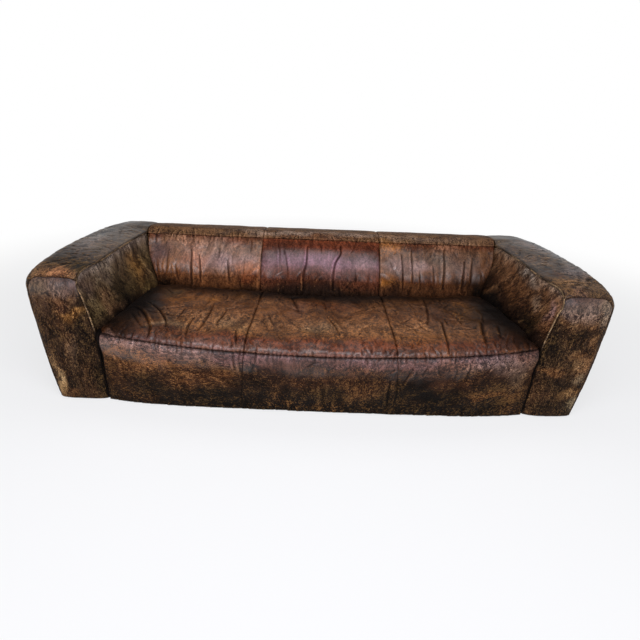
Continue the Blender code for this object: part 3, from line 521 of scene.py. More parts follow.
def gathers(u, v, seam, low, high, each, reach, deep, seed):
    """Short puckers that run from a seam at v = seam into the leather, about one every each metres."""
    random = np.random.default_rng(seed)
    height, place = np.zeros(u.shape), low
    while place < high:
        long, tilt = reach * random.uniform(0.4, 1.6), random.uniform(-0.35, 0.35)
        wide, strength = random.uniform(0.0035, 0.0065), deep * random.uniform(0.3, 1.2)
        away, off = np.abs(v - seam), u - place - tilt * (v - seam)
        fall, lifted = np.exp(-(away / long) ** 2), 0.7 * np.exp(-((off - 1.9 * wide) / wide) ** 2)
        height += strength * fall * (lifted - np.exp(-(off / wide) ** 2))
        place += each * random.uniform(0.5, 1.6)
    return height


print("a wave at the origin:", float(waves(np.zeros(1), np.zeros(1), 0.1, 3)[0]).__round__(3))

# %% [markdown]
# ### The back
# The inside back is pulled straight down behind the seat, so its creases run up and down and are
# deepest above the crevice. Coordinates: across the sofa, then down the leather from the top seam.

# %% Creases of the back
BACK_CREASES = [
    ([(-900, 220), (-885, 280), (-860, 340)], 5.5, 10, -0.5),
    ([(-812, 100), (-800, 200), (-785, 340)], 11, 10, 0.7),
    ([(-760, 140), (-742, 220), (-728, 330)], 11, 9, 0.6),
    ([(-572, 180), (-562, 240), (-548, 330)], 10, 8, -0.5), ([(-640, 60), (-632, 160)], 3, 12, 0.6),
    ([(-440, 20), (-436, 140)], 3.5, 8, 0.6), ([(-470, 160), (-462, 300)], 3, 12, -0.6),
    ([(-85, 70), (-83, 200), (-103, 280), (-94, 370)], 13, 8, -0.8),
    ([(122, 60), (128, 120), (96, 170), (80, 250), (78, 370)], 13, 9, -0.8),
    ([(100, 150), (108, 100), (118, 60)], 3.5, 6, 0.5),
    ([(-270, 50), (-252, 120), (-246, 220)], 4.5, 9, -0.9),
    ([(-222, 120), (-205, 200), (-190, 300)], 5, 10, 0.7), ([(213, 220), (216, 310)], 4, 7, 0.6),
    ([(0, 50), (6, 120)], 3, 8, 0.8), ([(175, 20), (190, 90)], 3, 7, 0.8),
    ([(300, 220), (290, 350)], 3.5, 14, 0.5), ([(505, 100), (507, 200), (503, 340)], 11, 8, -0.8),
    ([(572, 60), (568, 160), (562, 290)], 10, 8, -0.9), ([(612, 200), (612, 330)], 6.5, 7, -0.5),
    ([(702, 160), (703, 290)], 5, 9, -0.5), ([(780, 40), (774, 160), (756, 310)], 13, 10, -0.8),
    ([(905, 120), (890, 220), (872, 330)], 11, 10, -0.6), ([(958, 90), (942, 180), (934, 260)], 6, 9, -0.7),
    ([(-960, 100), (-950, 240), (-955, 330)], 4, 14, 0.5), ([(-1020, 200), (-985, 340)], 5, 12, 0.5),
]
back_run = lengths(back_grid)
back_u, back_v = back_grid[..., 0], back_run[FACE_CELLS] - back_run
facing = ease((back_v + 0.01) / 0.03)                     # 1 on the inside back, 0 on the top
back_height = 0.0032 * waves(back_u, back_v, 0.11, 11, 1.9) * facing
back_height += 0.0012 * waves(back_u, back_v, 0.035, 12, 2.6) * facing
back_height += 0.0020 * waves(back_u, back_v, 0.09, 13) * (1 - facing)
back_height += facing * (0.0022 * rucks(back_u, back_v, 0.038, 61, 4.0)
                         + 0.0010 * rucks(back_u, back_v, 0.018, 62, 3.0))
back_height += (1 - facing) * 0.0008 * rucks(back_u, back_v, 0.022, 63, 1.2)
draw_creases(back_height, back_u, back_v, BACK_CREASES)
back_height += crinkles(back_u, back_v, (-1.02, 1.0, 0.00, 0.10), 46, 0.045, 0.0022, 81, 0.30) * facing
back_height += crinkles(back_u, back_v, (-1.02, 1.0, 0.12, 0.34), 30, 0.060, 0.0022, 82, 0.22) * facing
back_height += gathers(back_u, back_v, 0.0, -1.05, 1.05, 0.040, 0.040, 0.0030, 14)
back_height += gathers(back_u, back_v, 0.42, -1.0, 1.0, 0.045, 0.060, 0.0028, 15) * facing
print("back: deepest crease", round(float(back_height.min()) * 1000, 1), "mm")

# %% [markdown]
# ### The seat
# The seat's leather has stretched where people sit and folded where it is drawn to the arms and the
# back. Coordinates: across the sofa, then from the front seam back over the seat. Below the seam
# the same distance runs on, negative, down the front border.

# %% Creases of the seat and its border
SEAT_CREASES = [
    ([(-910, 345), (-830, 290), (-785, 240), (-745, 175), (-725, 110)], 10, 10, 0.6),
    ([(-955, 275), (-885, 230), (-830, 150), (-792, 80), (-786, 30)], 10, 11, -0.7),
    ([(-940, 200), (-880, 130), (-830, 80)], 5, 12, 0.6),
    ([(-890, 250), (-800, 256), (-700, 252), (-600, 262)], 5, 10, -0.5),
    ([(-700, 350), (-706, 280), (-704, 215)], 6, 8, 0.6),
    ([(-622, 240), (-626, 150), (-606, 45)], 8, 9, 0.6),
    ([(-570, 450), (-560, 330), (-562, 210), (-566, 100)], 8, 13, 0.5),
    ([(-478, 360), (-486, 280), (-502, 240), (-494, 190)], 6.5, 11, 0.5),
    ([(-388, 135), (-378, 80), (-372, 35)], 8, 7, 0.6),
    ([(-262, 350), (-240, 280), (-218, 210)], 4.5, 10, 0.9),
    ([(-305, 262), (-282, 258), (-268, 232)], 4, 7, 0.6),
    ([(-155, 590), (-125, 500), (-108, 400)], 7, 16, 0.4),
    ([(40, 355), (78, 270), (88, 200), (100, 140)], 6.5, 9, -0.9),
    ([(20, 560), (40, 500), (35, 430)], 4, 12, 0.5), ([(200, 68), (218, 40), (236, 4)], 3, 6, -0.9),
    ([(606, 620), (592, 480), (575, 360), (548, 270)], 7, 12, 0.5), ([(662, 355), (654, 265)], 5, 9, 0.5),
    ([(634, 310), (624, 240), (612, 170), (600, 90), (594, 20)], 11.5, 10, 0.6),
    ([(732, 370), (728, 290)], 5, 9, 0.5), ([(845, 290), (815, 200), (796, 120), (784, 60)], 11, 15, 0.6),
    ([(905, 215), (872, 100)], 6, 12, 0.6), ([(375, 266), (408, 270), (432, 248)], 4.5, 6, 0.6),
    ([(440, 275), (470, 240), (478, 190)], 3.5, 8, 0.7), ([(500, 290), (528, 215), (560, 205)], 5, 8, -0.8),
    ([(640, 230), (730, 216), (810, 206)], 4.5, 10, 0.5), ([(660, 262), (760, 248)], 3, 8, 0.5),
    ([(520, 55), (545, 4)], 3.5, 6, -0.8), ([(437, -25), (418, -90), (400, -150)], 3.5, 7, -0.9),
    ([(540, -15), (548, -60), (570, -100)], 3, 6, 0.8), ([(810, -40), (785, -80), (770, -110)], 3, 8, -0.8),
    ([(700, -30), (690, -130)], 3.5, 10, 0.7), ([(635, -40), (640, -170)], 3, 12, 0.6),
    ([(-381, -8), (-375, -90)], 5, 6, 0.7), ([(-352, -8), (-350, -120)], 3.5, 7, 0.7),
    ([(-460, -30), (-425, -45), (-405, -30)], 4, 7, 0.7),
    ([(-50, -45), (-20, -28), (10, -20)], 3.5, 7, 0.6), ([(222, -6), (226, -45)], 3.5, 6, 0.7),
    ([(338, -120), (340, -220), (352, -340)], 5, 10, 0.5), ([(30, -150), (35, -330)], 4, 14, 0.5),
    ([(-960, -80), (-930, -130), (-925, -230)], 4, 12, 0.5),
]
seat_run = lengths(seat_grid)
seat_u, seat_v = seat_grid[..., 0], seat_run - seat_run[BORDER_CELLS]
on_top = ease((seat_v - 0.02) / 0.06)                     # 1 on the seat, 0 on the border
near_rear = ease((seat_v - 0.50) / 0.15)
seat_height = on_top * (0.0050 * waves(seat_u, seat_v, 0.15, 21)
                        + 0.0016 * waves(seat_u, seat_v, 0.045, 22))
seat_height += (1 - on_top) * (0.0022 * waves(seat_u, seat_v, 0.07, 23, 2.2)
                               + 0.0010 * waves(seat_u, seat_v, 0.025, 24, 3.0))
bulge = 0.011 * (1 - ease((seat_v - 0.004) / 0.004))      # of the border's leather, below its seam
seat_height += bulge * np.sin(math.pi * clamp(-seat_v / 0.13) ** 0.65) ** 1.5
seat_height += on_top * (0.0022 * rucks(seat_u, seat_v, 0.042, 64, 2.6, 0.25)
                         + 0.0011 * rucks(seat_u, seat_v, 0.020, 65, 2.2, -0.2))
seat_height += (1 - on_top) * (0.0010 * rucks(seat_u, seat_v, 0.030, 66, 3.0)
                               + 0.0006 * rucks(seat_u, seat_v, 0.016, 67, 1.5))
draw_creases(seat_height, seat_u, seat_v, SEAT_CREASES)
seat_height += crinkles(seat_u, seat_v, (-0.98, 0.96, 0.00, 0.09), 70, 0.040, 0.0026, 83, 0.5)
seat_height += crinkles(seat_u, seat_v, (-0.92, 0.88, 0.08, 0.40), 70, 0.065, 0.0030, 84, 0.9)
seat_height += crinkles(seat_u, seat_v, (-0.90, 0.90, 0.40, 0.60), 40, 0.060, 0.0028, 85, 1.2)
seat_height += crinkles(seat_u, seat_v, (-0.98, 0.98, -0.14, -0.02), 50, 0.050, 0.0024, 86, 0.5)
seat_height += gathers(seat_u, seat_v, 0.0, -0.98, 1.0, 0.030, 0.030, 0.0030, 25)
seat_height += gathers(seat_u, seat_v, -0.37, -1.0, 1.0, 0.060, 0.050, 0.0020, 26)
seat_height += gathers(seat_u, seat_v, 0.66, -0.95, 0.95, 0.070, 0.060, 0.0026, 27) * near_rear
print("seat: deepest crease", round(float(seat_height.min()) * 1000, 1), "mm")

# %% [markdown]
# ### The arms
# The arms are padded thinly over boards. Their leather stays smooth on top, with slanting pulls at
# the front where it is drawn round the corner, and shallow waves down the inner and outer sides.
# Coordinates: behind the front face, then away from the inner seam.

# %% Creases of the arms
ARM_CREASES = {
    "left": [
        ([(20, 160), (100, 110), (220, 20)], 3, 10, 0.5),
        ([(100, 200), (220, 100), (300, 30)], 2.2, 12, 0.5), ([(450, 120), (620, 200)], 1.8, 10, 0.5),
        ([(600, 60), (780, 130)], 1.8, 12, 0.5)],
    "right": [
        ([(20, 50), (90, 140), (200, 200)], 3, 10, 0.5), ([(50, 30), (130, 120), (270, 190)], 2.2, 10, 0.5),
        ([(580, 30), (700, 90)], 2.2, 8, 0.6), ([(300, 40), (480, 130)], 1.6, 12, 0.5)],
}


def arm_places(part):
    """Where the points of an arm's three panels lie on the opened-out leather."""
    down = lengths(part["inner"])
    return {"over": (part["over"][..., 1] - FRONT_Y, lengths(part["over"])),
            "inner": (part["inner"][..., 1] - FRONT_Y, down[-1] - down),
            "face": (part["face"][..., 0], part["face"][..., 2])}


for number, name in enumerate(("left", "right")):
    part = arm_grids[name]
    part["places"] = arm_places(part)
    d, run = part["places"]["over"]
    height = 0.0018 * waves(d, run, 0.12, 31 + number) + 0.0008 * waves(d + run, run, 0.04, 33 + number)
    height += 0.0030 * waves(d, run, 0.16, 35 + number, 2.0) * ease((run - 0.36) / 0.1)
    draw_creases(height, d, run, ARM_CREASES[name])
    height += (0.0012 * rucks(d, run, 0.036, 68 + number, 2.6, 0.5)
               + 0.0006 * rucks(d, run, 0.017, 70 + number, 1.4))
    height += gathers(run, d, 0.0, 0.0, 0.9, 0.045, 0.030, 0.0016, 37 + number)
    height += crinkles(d, run, (0.06, 0.86, 0.00, 0.26), 190, 0.060, 0.0017, 90 + number, 0.4)
    part["over_height"] = height

    d, down = part["places"]["inner"]
    height = (0.0026 * waves(d, down, 0.11, 41 + number, 1.8)
              + 0.0010 * waves(d, down, 0.035, 43 + number, 2.2))
    height += (0.0014 * rucks(d, down, 0.034, 72 + number, 3.2)
               + 0.0008 * rucks(d, down, 0.017, 74 + number, 1.6))
    height += gathers(d, down, 0.0, 0.03, 0.85, 0.050, 0.030, 0.0014, 45 + number)
    height += gathers(d, down, 0.34, 0.1, 0.85, 0.060, 0.070, 0.0030, 47 + number)
    height += crinkles(d, down, (0.04, 0.80, 0.00, 0.26), 80, 0.060, 0.0018, 92 + number, 0.7)
    part["inner_height"] = height

    across, rise = part["places"]["face"]
    height = (0.0022 * waves(across, rise, 0.07, 51 + number, 2.4)
              + 0.0010 * waves(across, rise, 0.03, 53 + number, 2.0))
    height += (0.0009 * rucks(across, rise, 0.028, 76 + number, 3.0)
               + 0.0005 * rucks(across, rise, 0.015, 78 + number, 1.4))
    height += gathers(rise, across, float(across[50].min()), 0.05, 0.6, 0.050, 0.025, 0.0014, 55 + number)
    height += crinkles(across, rise, (1.06, 1.30, 0.06, 0.56), 50, 0.060, 0.0016, 94 + number, 0.2)
    part["face_height"] = height
print("arms: creases on each", {name: len(ARM_CREASES[name]) for name in ARM_CREASES})

# %% [markdown]
# ### Letting the hide settle
# Drawn creases alone look drawn. Real hide is cut a little too wide for its foam, and what is left
# over stands in soft folds between the seams. Blender's Cloth finds such folds by itself: each panel
# becomes a sheet that lies in its place but wants to be a few percent wider. Its rim is pinned, as
# a seam holds it, a weak pull keeps the rest near the foam, and a light pressure fills it. Only the
# heights of the settled sheet are kept, and they are capped, so that no panel outgrows its place.
# The sheet starts with the drawn creases, so its own folds grow out of them.

# %% An open sheet
HOLD = 0.04                               # how strongly the foam holds the sheet, beside 1 at a seam


def blurred(values, times):
    """A map smoothed over its neighbours, times over."""
    for _ in range(times):
        for axis in (0, 1):
            count = values.shape[axis]
            low = np.take(values, np.maximum(np.arange(count) - 1, 0), axis)
            high = np.take(values, np.minimum(np.arange(count) + 1, count - 1), axis)
            values = 0.5 * values + 0.25 * (low + high)
    return values


def sheet_object(lying):
    """An open sheet whose rim is held fast and whose inside is held weakly."""
    sheet = mesh_object("settling_sheet", lying, quads(*lying.shape[:2]).tolist())
    rim = np.zeros(lying.shape[:2], bool)
    rim[[0, -1], :] = rim[:, [0, -1]] = True
    held = sheet.vertex_groups.new(name="held")
    held.add(np.flatnonzero(rim).tolist(), 1.0, "REPLACE")
    held.add(np.flatnonzero(~rim).tolist(), HOLD, "REPLACE")
    return sheet


print("the foam holds a sheet", round(1 / HOLD), "times more weakly than a seam does")

# %% Let a sheet settle as Cloth
SHEET_STEP, SETTLE_FRAMES = 2, 20         # the sheet has one point for every two of the skin


def settled(points, normal, height, wider, press, stiff, most):
    """Heights that a panel gains as its sheet settles, on the panel's own grid."""
    rows, columns = points.shape[:2]
    near = [np.unique(np.append(np.arange(0, count, SHEET_STEP), count - 1)) for count in (rows, columns)]
    place = np.ix_(*near)
    lying = points[place] + normal[place] * height[place][..., None]
    sheet = sheet_object(lying)
    cloth = sheet.modifiers.new("settling", "CLOTH")
    ways, scene = cloth.settings, bpy.context.scene
    ways.quality, ways.mass, ways.air_damping = 6, 0.25, 4.0
    ways.tension_stiffness = ways.compression_stiffness = 20.0
    ways.shear_stiffness, ways.bending_stiffness = 8.0, stiff
    ways.tension_damping = ways.compression_damping = ways.shear_damping = 15.0
    ways.vertex_group_mass, ways.pin_stiffness = "held", 1.0
    ways.shrink_min = -wider
    ways.effector_weights.gravity = 0.0
    ways.use_pressure, ways.uniform_pressure_force = True, press
    cloth.collision_settings.use_collision = False
    for number in range(1, SETTLE_FRAMES + 1):
        scene.frame_set(number)
    seen = sheet.evaluated_get(bpy.context.evaluated_depsgraph_get()).data
    moved = np.empty(len(seen.vertices) * 3)
    seen.vertices.foreach_get("co", moved)
    gain = blurred(((moved.reshape(lying.shape) - lying) * normal[place]).sum(-1), 1)
    gain[[0, -1], :] = gain[:, [0, -1]] = 0
    scene.frame_set(1)
    bpy.data.objects.remove(sheet)
    gain = most * np.tanh(gain / most)
    across = np.stack([np.interp(range(columns), near[1], row) for row in gain])
    return np.stack([np.interp(range(rows), near[0], column) for column in across.T], 1)


print("one sheet has", math.ceil(SEAT_CELLS / SHEET_STEP) * math.ceil(164 / SHEET_STEP), "cells")

# %% Settle the seat, the border, the back and the arms' inner sides
SETTLING = {                              # how much wider, how pressed, how stiff, and the cap
    "seat": (0.013, 0.20, 3.0, 0.0075), "border": (0.008, 0.10, 4.0, 0.0040),
    "back": (0.013, 0.30, 3.0, 0.0070), "inside arm": (0.010, 0.10, 4.0, 0.0040),
}


def settle(part, name, points, normal, height):
    gain = settled(points, normal, height, *SETTLING[part])
    height += gain
    print(part, name, "moved", [round(float(end) * 1000, 1) for end in (gain.min(), gain.max())], "mm")


ON_SEAT, ON_BORDER = slice(BORDER_CELLS, None), slice(0, BORDER_CELLS + 1)
ON_BACK, ON_CROWN = slice(0, FACE_CELLS + 1), slice(FACE_CELLS, None)
for name in ("left", "middle", "right"):
    for part, rows, columns, maps in (
            ("seat", ON_SEAT, seat_thirds[name], (seat_grid, seat_normal, seat_height)),
            ("border", ON_BORDER, seat_thirds[name], (seat_grid, seat_normal, seat_height)),
            ("back", ON_BACK, back_thirds[name], (back_grid, back_normal, back_height))):
        settle(part, name, *(a[rows, columns] for a in maps))
for name in ("left", "right"):
    part = arm_grids[name]
    settle("inside arm", name, part["inner"], -normals_of(part["inner"]), part["inner_height"])

# %% [markdown]
# ## The mesh of one panel
# On the bench a panel is a piece of hide with fibre wadding behind it. Its edges turn in where it
# is sewn, so from outside a seam is a narrow valley between two rolls. The mesh copies that: a fine
# outer grid, an edge that rolls in, a hem that runs back into the seam, and a coarse back that
# closes the form. A closed form has a true inside, which printing and simulation both need.

# %% Seams and edges
HEMS = (0.0012, 0.0060)                   # how far each row of the hem lies behind the skin
HEM_INWARD = 0.0006                       # and how far it runs in from the edge
COARSE = 4                                # the back has one point for every four of the skin


def rim_of(rows, columns):
    """Grid places round the edge, counter-clockwise from the lower left."""
    places = [(0, j) for j in range(columns)] + [(i, columns - 1) for i in range(1, rows)]
    places += [(rows - 1, j) for j in range(columns - 2, -1, -1)] + [(i, 0) for i in range(rows - 2, 0, -1)]
    return tuple(np.array(places).T)


def rolled(points, seams):
    """How far the skin sinks towards its four edges: bottom, top, left and right."""
    up, across = lengths(points), lengths_across(points)
    sunk = np.zeros(points.shape[:2])
    for away, (deep, wide) in zip((up, up[-1] - up, across, across[:, -1:] - across), seams):
        sunk -= deep * (0.45 * np.exp(-(away / wide) ** 2) + 0.55 * np.exp(-away / (3.5 * wide)))
    return sunk


def draw_in(skin):
    """Draws the skin's edges in by half the gap of a seam, towards the points next to them."""
    for edge, near in ((0, 1), (-1, -2)):
        skin[edge] += unit(skin[near] - skin[edge]) * SEAM_GAP
        skin[:, edge] += unit(skin[:, near] - skin[:, edge]) * SEAM_GAP


def add_layer(mesh, name, values):
    layer = mesh.attributes.new(name, "FLOAT_COLOR", "POINT")
    values = np.concatenate([values, np.ones((len(values), 4 - values.shape[1]))], 1)
    layer.data.foreach_set("color", values.ravel())


print("a panel's rim over a 5 by 9 grid has", len(rim_of(5, 9)[0]), "places")

# %% Close a skin
def panel_object(name, skin, normal, back, layers):
    """A closed panel: the fine skin, its turned hem, and a coarse back behind it."""
    rows, columns = skin.shape[:2]
    rim = rim_of(rows, columns)
    inward = np.zeros(skin.shape)
    inward[0], inward[-1] = skin[1] - skin[0], skin[-2] - skin[-1]
    inward[1:-1, 0], inward[1:-1, -1] = (skin[:, 1] - skin[:, 0])[1:-1], (skin[:, -2] - skin[:, -1])[1:-1]
    inward = unit(inward[rim]) * HEM_INWARD
    hems = [skin[rim] + inward - normal[rim] * depth for depth in HEMS]
    coarse = back[::COARSE, ::COARSE]
    points = np.concatenate([skin.reshape(-1, 3), *hems, coarse.reshape(-1, 3)])

    edge = rim[0] * columns + rim[1]
    size = len(edge)
    faces = quads(rows, columns).tolist()
    rings = [edge] + [rows * columns + k * size + np.arange(size) for k in range(len(HEMS))]
    for outer, inner in zip(rings, rings[1:]):
        faces += np.stack([np.roll(outer, -1), outer, inner, np.roll(inner, -1)], 1).tolist()
    start, hem = rows * columns + len(HEMS) * size, rings[-1]
    low_rim = rim_of(*coarse.shape[:2])
    low_edge = start + low_rim[0] * coarse.shape[1] + low_rim[1]
    for k in range(len(low_edge)):                  # five hem points meet two points of the back
        f = [int(hem[(COARSE * k + n) % size]) for n in range(COARSE + 1)]
        c, d = int(low_edge[k]), int(low_edge[(k + 1) % len(low_edge)])
        faces += [(f[1], f[0], c), (f[2], f[1], c), (c, d, f[2]), (f[3], f[2], d), (f[4], f[3], d)]
    faces += quads(*coarse.shape[:2], start)[:, ::-1].tolist()

    piece = mesh_object(name, points, faces)
    for layer, values in layers.items():
        maps = [values, *[values[rim]] * len(HEMS), values[::COARSE, ::COARSE]]
        add_layer(piece.data, layer, np.concatenate([a.reshape(-1, values.shape[-1]) for a in maps]))
    return piece


print("a hem's rows lie", [depth * 1000 for depth in HEMS], "mm behind the skin")

# %% Cut one panel
def panel(name, node, slot, points, normal, height, seams, wadding, hue, wear):
    """Cuts one panel, gives it its seams and layers, and lets it stand for its solid."""
    dent = height + rolled(points, seams)
    skin = points + normal * dent[..., None]
    draw_in(skin)
    proud = dent - blurred(dent, 14)                # how far a place stands out from those round it
    # The hollow mask darkens every hollow of the skin in the shader: painted shade in seams and creases.
    hollow_shade, raised = clamp(-proud / 0.0030), clamp(proud / 0.0022)
    # Raised places are lightened as a painted highlight along the ridges; the rub that they add is real
    # wear.
    hue = hue * (1 + raised[..., None] * np.array((0.50, 0.60, 0.70)))
    rub, grime_and_shade, shine = np.moveaxis(wear, -1, 0)
    worn = np.stack([clamp(rub + 0.22 * raised), clamp(grime_and_shade), hollow_shade, clamp(shine)], -1)
    piece = panel_object(name, skin, normal, points - normal * wadding, {"hue": hue, "wear": worn})
    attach(piece, "root")
    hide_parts(node)
    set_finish(piece, slot)
    return piece


print("a seam's edges are drawn in by", SEAM_GAP * 1000, "mm each")

# %% [markdown]
# ## Where the hide is rubbed and stained, and where sheen and shade are painted
# An old waxed hide has no single colour. The wax wears off first where people sit and lean, and
# shows tan. These are large soft regions, so they are painted on the mesh: a ground colour for a
# panel, and patches given by place, size and tone. Painted into the same colours are light and shade:
# the corners, crevices and parts near the floor are darkened as painted shade, and pale lavender
# tones where the hide faces the light are a painted sheen. Their edges are bent by slow waves, because
# no real stain is an ellipse. Three more numbers go with each point: how thickly it is speckled with
# rubbed tan, how much grime it holds, which in the crevices is painted shade, and how much wax is
# left on it to shine. Places and sizes in the tables are millimetres on the opened-out hide.

# %% Tones of the hide, and a brush
def tone(red, green, blue):
    """A colour given as it looks on a screen, turned to the linear values that a shader takes."""
    linear = [c / 255 / 12.92 if c < 11 else ((c / 255 + 0.055) / 1.055) ** 2.4
              for c in (red, green, blue)]
    return np.array(linear)


# Some of these tones also serve as painted light: the pale bloom and the mauves where the hide faces the
# light are a painted sheen, and the two darkest tones in corners and crevices are painted shade.
SADDLE, TAN, GOLD = tone(112, 76, 50), tone(142, 103, 74), tone(150, 102, 52)
RUST, RUSSET, SALMON = tone(122, 62, 38), tone(98, 52, 34), tone(172, 116, 84)
UMBER, DEEP_BROWN, PLUM = tone(62, 40, 28), tone(26, 19, 15), tone(92, 66, 66)
OLIVE, STONE, MAUVE = tone(88, 70, 44), tone(122, 102, 86), tone(140, 112, 118)
PAINTED_SHEEN, EARTH, PITCH_BLACK = tone(156, 132, 126), tone(86, 60, 42), tone(14, 9, 6)
WALNUT, CHALK = tone(124, 86, 60), tone(176, 156, 132)


def bent(u, v, seed):
    """The same places, pushed about by slow waves."""
    def pushed(a, number):
        return a + 0.035 * waves(u, v, 0.10, number) + 0.3 * 0.035 * waves(u, v, 0.03, number + 1)

    return pushed(u, seed), pushed(v, seed + 2)


def shaded(v, *stops):
    """A ground that changes along v: (v, tone) stops, in millimetres and with v rising."""
    places, tones = [stop[0] / 1000 for stop in stops], np.array([stop[1] for stop in stops])
    return np.stack([np.interp(v, places, tones[:, k]) for k in range(3)], -1)


def painted(u, v, ground, patches, seed):
    """Soft patches over a ground: (u, v, half width, half height) in millimetres, value, percent."""
    a, b = bent(u, v, seed)
    colour = ground + np.zeros(u.shape + np.shape(ground)[-1:])
    for *place, value, percent in patches:
        at_u, at_v, half_u, half_v = np.array(place) / 1000
        away = (((a - at_u) / half_u) ** 2 + ((b - at_v) / half_v) ** 2) ** 1.4
        cover = percent / 100 * np.exp(-away)
        colour = mix(colour, value, cover[..., None] if np.ndim(ground) else cover)
    return colour


print("saddle brown in linear values:", SADDLE.round(3))

# %% Patches on the seat and the front border
# Near-black patches at the seat's ends by the arms, and dark ones along its rear by the back, are painted
# shade of those crevices. The plum, mauve and pale bloom strips just behind the front seam, and the pale
# patches at its left corner, are a painted sheen.
SEAT_TONES = [
    (0, 220, 800, 120, TAN, 60), (0, 400, 700, 80, SADDLE, 50), (250, 640, 950, 90, DEEP_BROWN, 75),
    (-600, 620, 300, 90, UMBER, 85), (-1040, 340, 170, 400, PITCH_BLACK, 100),
    (1050, 340, 200, 400, PITCH_BLACK, 100), (-860, 300, 70, 120, UMBER, 80),
    (820, 380, 120, 200, UMBER, 85), (620, 480, 130, 100, UMBER, 75), (400, 500, 120, 70, EARTH, 60),
    (-940, 520, 60, 70, PITCH_BLACK, 80), (960, 520, 60, 80, PITCH_BLACK, 80),
    (620, 380, 80, 120, tone(70, 42, 22), 50), (800, 400, 80, 100, tone(118, 84, 42), 50),
    (-420, 180, 70, 60, tone(176, 146, 116), 50), (0, 210, 80, 50, tone(170, 146, 118), 45),
    (-100, 580, 140, 40, UMBER, 50), (-760, 130, 60, 30, tone(150, 142, 138), 50),
    (-950, 20, 50, 20, tone(190, 170, 168), 80), (-760, 200, 70, 70, EARTH, 75),
    (-700, 140, 60, 40, STONE, 55), (-580, 320, 80, 70, TAN, 45), (-420, 240, 100, 120, TAN, 70),
    (-740, 440, 80, 60, GOLD, 45), (-600, 460, 50, 50, GOLD, 50), (-820, 520, 60, 50, OLIVE, 70),
    (-460, 560, 80, 40, EARTH, 50), (-200, 130, 70, 50, UMBER, 45), (-280, 450, 50, 70, TAN, 50),
    (-120, 460, 60, 100, PLUM, 45), (50, 500, 160, 60, RUSSET, 45), (140, 210, 180, 90, TAN, 55),
    (240, 340, 100, 80, TAN, 45), (480, 220, 60, 80, TAN, 55), (600, 230, 50, 60, EARTH, 60),
    (680, 270, 50, 50, SADDLE, 60), (830, 500, 50, 40, GOLD, 45), (-800, 85, 120, 35, UMBER, 75),
    (-450, 70, 300, 30, RUSSET, 55), (100, 60, 600, 40, RUST, 60), (460, 90, 100, 50, GOLD, 40),
    (720, 60, 200, 30, RUSSET, 60), (-900, 30, 70, 30, UMBER, 80), (-760, 18, 110, 22, PLUM, 95),
    (-520, 18, 130, 24, MAUVE, 55), (-100, 15, 450, 22, MAUVE, 35), (300, 15, 140, 22, PLUM, 60),
    (780, 18, 160, 24, PLUM, 75), (970, 30, 60, 50, UMBER, 80), (-940, 340, 60, 200, PITCH_BLACK, 70),
    (960, 340, 60, 240, PITCH_BLACK, 70), (610, 340, 60, 140, UMBER, 45), (-950, 18, 50, 25, PAINTED_SHEEN, 80),
    (-420, 210, 80, 60, STONE, 50), (0, 220, 80, 50, STONE, 50), (-420, 590, 70, 50, TAN, 50),
    (800, 340, 50, 90, EARTH, 50),
]
# The bloom, mauve and pale lavender-grey patches along the top, 20 to 60 mm below the seam, are partly worn
# hide and partly a painted sheen where the border's top faces the light.
BORDER_TONES = [
    (-880, -28, 200, 26, PAINTED_SHEEN, 95), (-600, -30, 160, 26, PAINTED_SHEEN, 60), (-360, -45, 120, 35, MAUVE, 50),
    (-140, -28, 140, 22, MAUVE, 30), (220, -28, 120, 24, MAUVE, 40), (440, -26, 100, 22, MAUVE, 35),
    (700, -34, 200, 30, tone(140, 116, 124), 50), (940, -50, 100, 45, tone(146, 116, 94), 55),
    (-950, -75, 70, 35, TAN, 85), (-780, -105, 140, 40, TAN, 75), (-620, -80, 100, 30, SADDLE, 60),
    (-600, -190, 140, 45, TAN, 60), (-440, -130, 70, 35, EARTH, 60), (-420, -80, 60, 25, STONE, 45),
    (-950, -150, 70, 50, UMBER, 80), (-800, -220, 120, 40, DEEP_BROWN, 65), (-950, -320, 50, 50, EARTH, 75),
    (-720, -330, 120, 40, DEEP_BROWN, 70), (-480, -320, 180, 60, DEEP_BROWN, 90), (-320, -190, 60, 40, DEEP_BROWN, 60),
    (-180, -150, 50, 50, UMBER, 60), (-200, -330, 80, 40, EARTH, 45), (0, -120, 80, 40, EARTH, 50),
    (20, -230, 60, 60, DEEP_BROWN, 45), (40, -340, 100, 30, EARTH, 35), (200, -210, 70, 80, EARTH, 75),
    (160, -90, 80, 30, EARTH, 50), (340, -280, 35, 100, PITCH_BLACK, 70),
    (450, -180, 110, 80, PITCH_BLACK, 75), (600, -240, 110, 65, PITCH_BLACK, 75),
    (600, -80, 80, 30, SADDLE, 45), (660, -130, 50, 50, EARTH, 40), (840, -150, 80, 45, DEEP_BROWN, 60),
    (820, -225, 90, 22, SADDLE, 55), (970, -130, 60, 60, STONE, 60), (970, -240, 60, 40, EARTH, 55),
    (760, -330, 140, 40, DEEP_BROWN, 90), (980, -330, 50, 40, EARTH, 60), (500, -340, 160, 40, DEEP_BROWN, 70),
    (-600, -215, 80, 35, TAN, 50), (-420, -125, 60, 30, TAN, 60), (-200, -230, 60, 50, EARTH, 60),
    (-120, -320, 140, 35, TAN, 45), (-850, -330, 160, 35, EARTH, 60), (520, -220, 120, 60, PITCH_BLACK, 55),
    (760, -55, 200, 40, tone(140, 128, 132), 50), (20, -70, 100, 30, UMBER, 50),
    (420, -85, 80, 35, UMBER, 55), (620, -50, 80, 30, tone(156, 112, 86), 45),
    (960, -90, 60, 60, tone(128, 118, 116), 50), (-950, -270, 60, 70, EARTH, 60),
    (500, -210, 130, 40, PITCH_BLACK, 50), (100, -68, 360, 30, tone(86, 56, 42), 45),
    (900, -50, 120, 40, tone(156, 142, 146), 40), (520, -220, 110, 35, PITCH_BLACK, 60),
    (50, -220, 100, 30, DEEP_BROWN, 35), (0, -338, 260, 28, tone(110, 80, 54), 50),
]
print("patches:", len(SEAT_TONES), "on the seat and", len(BORDER_TONES), "on the border")

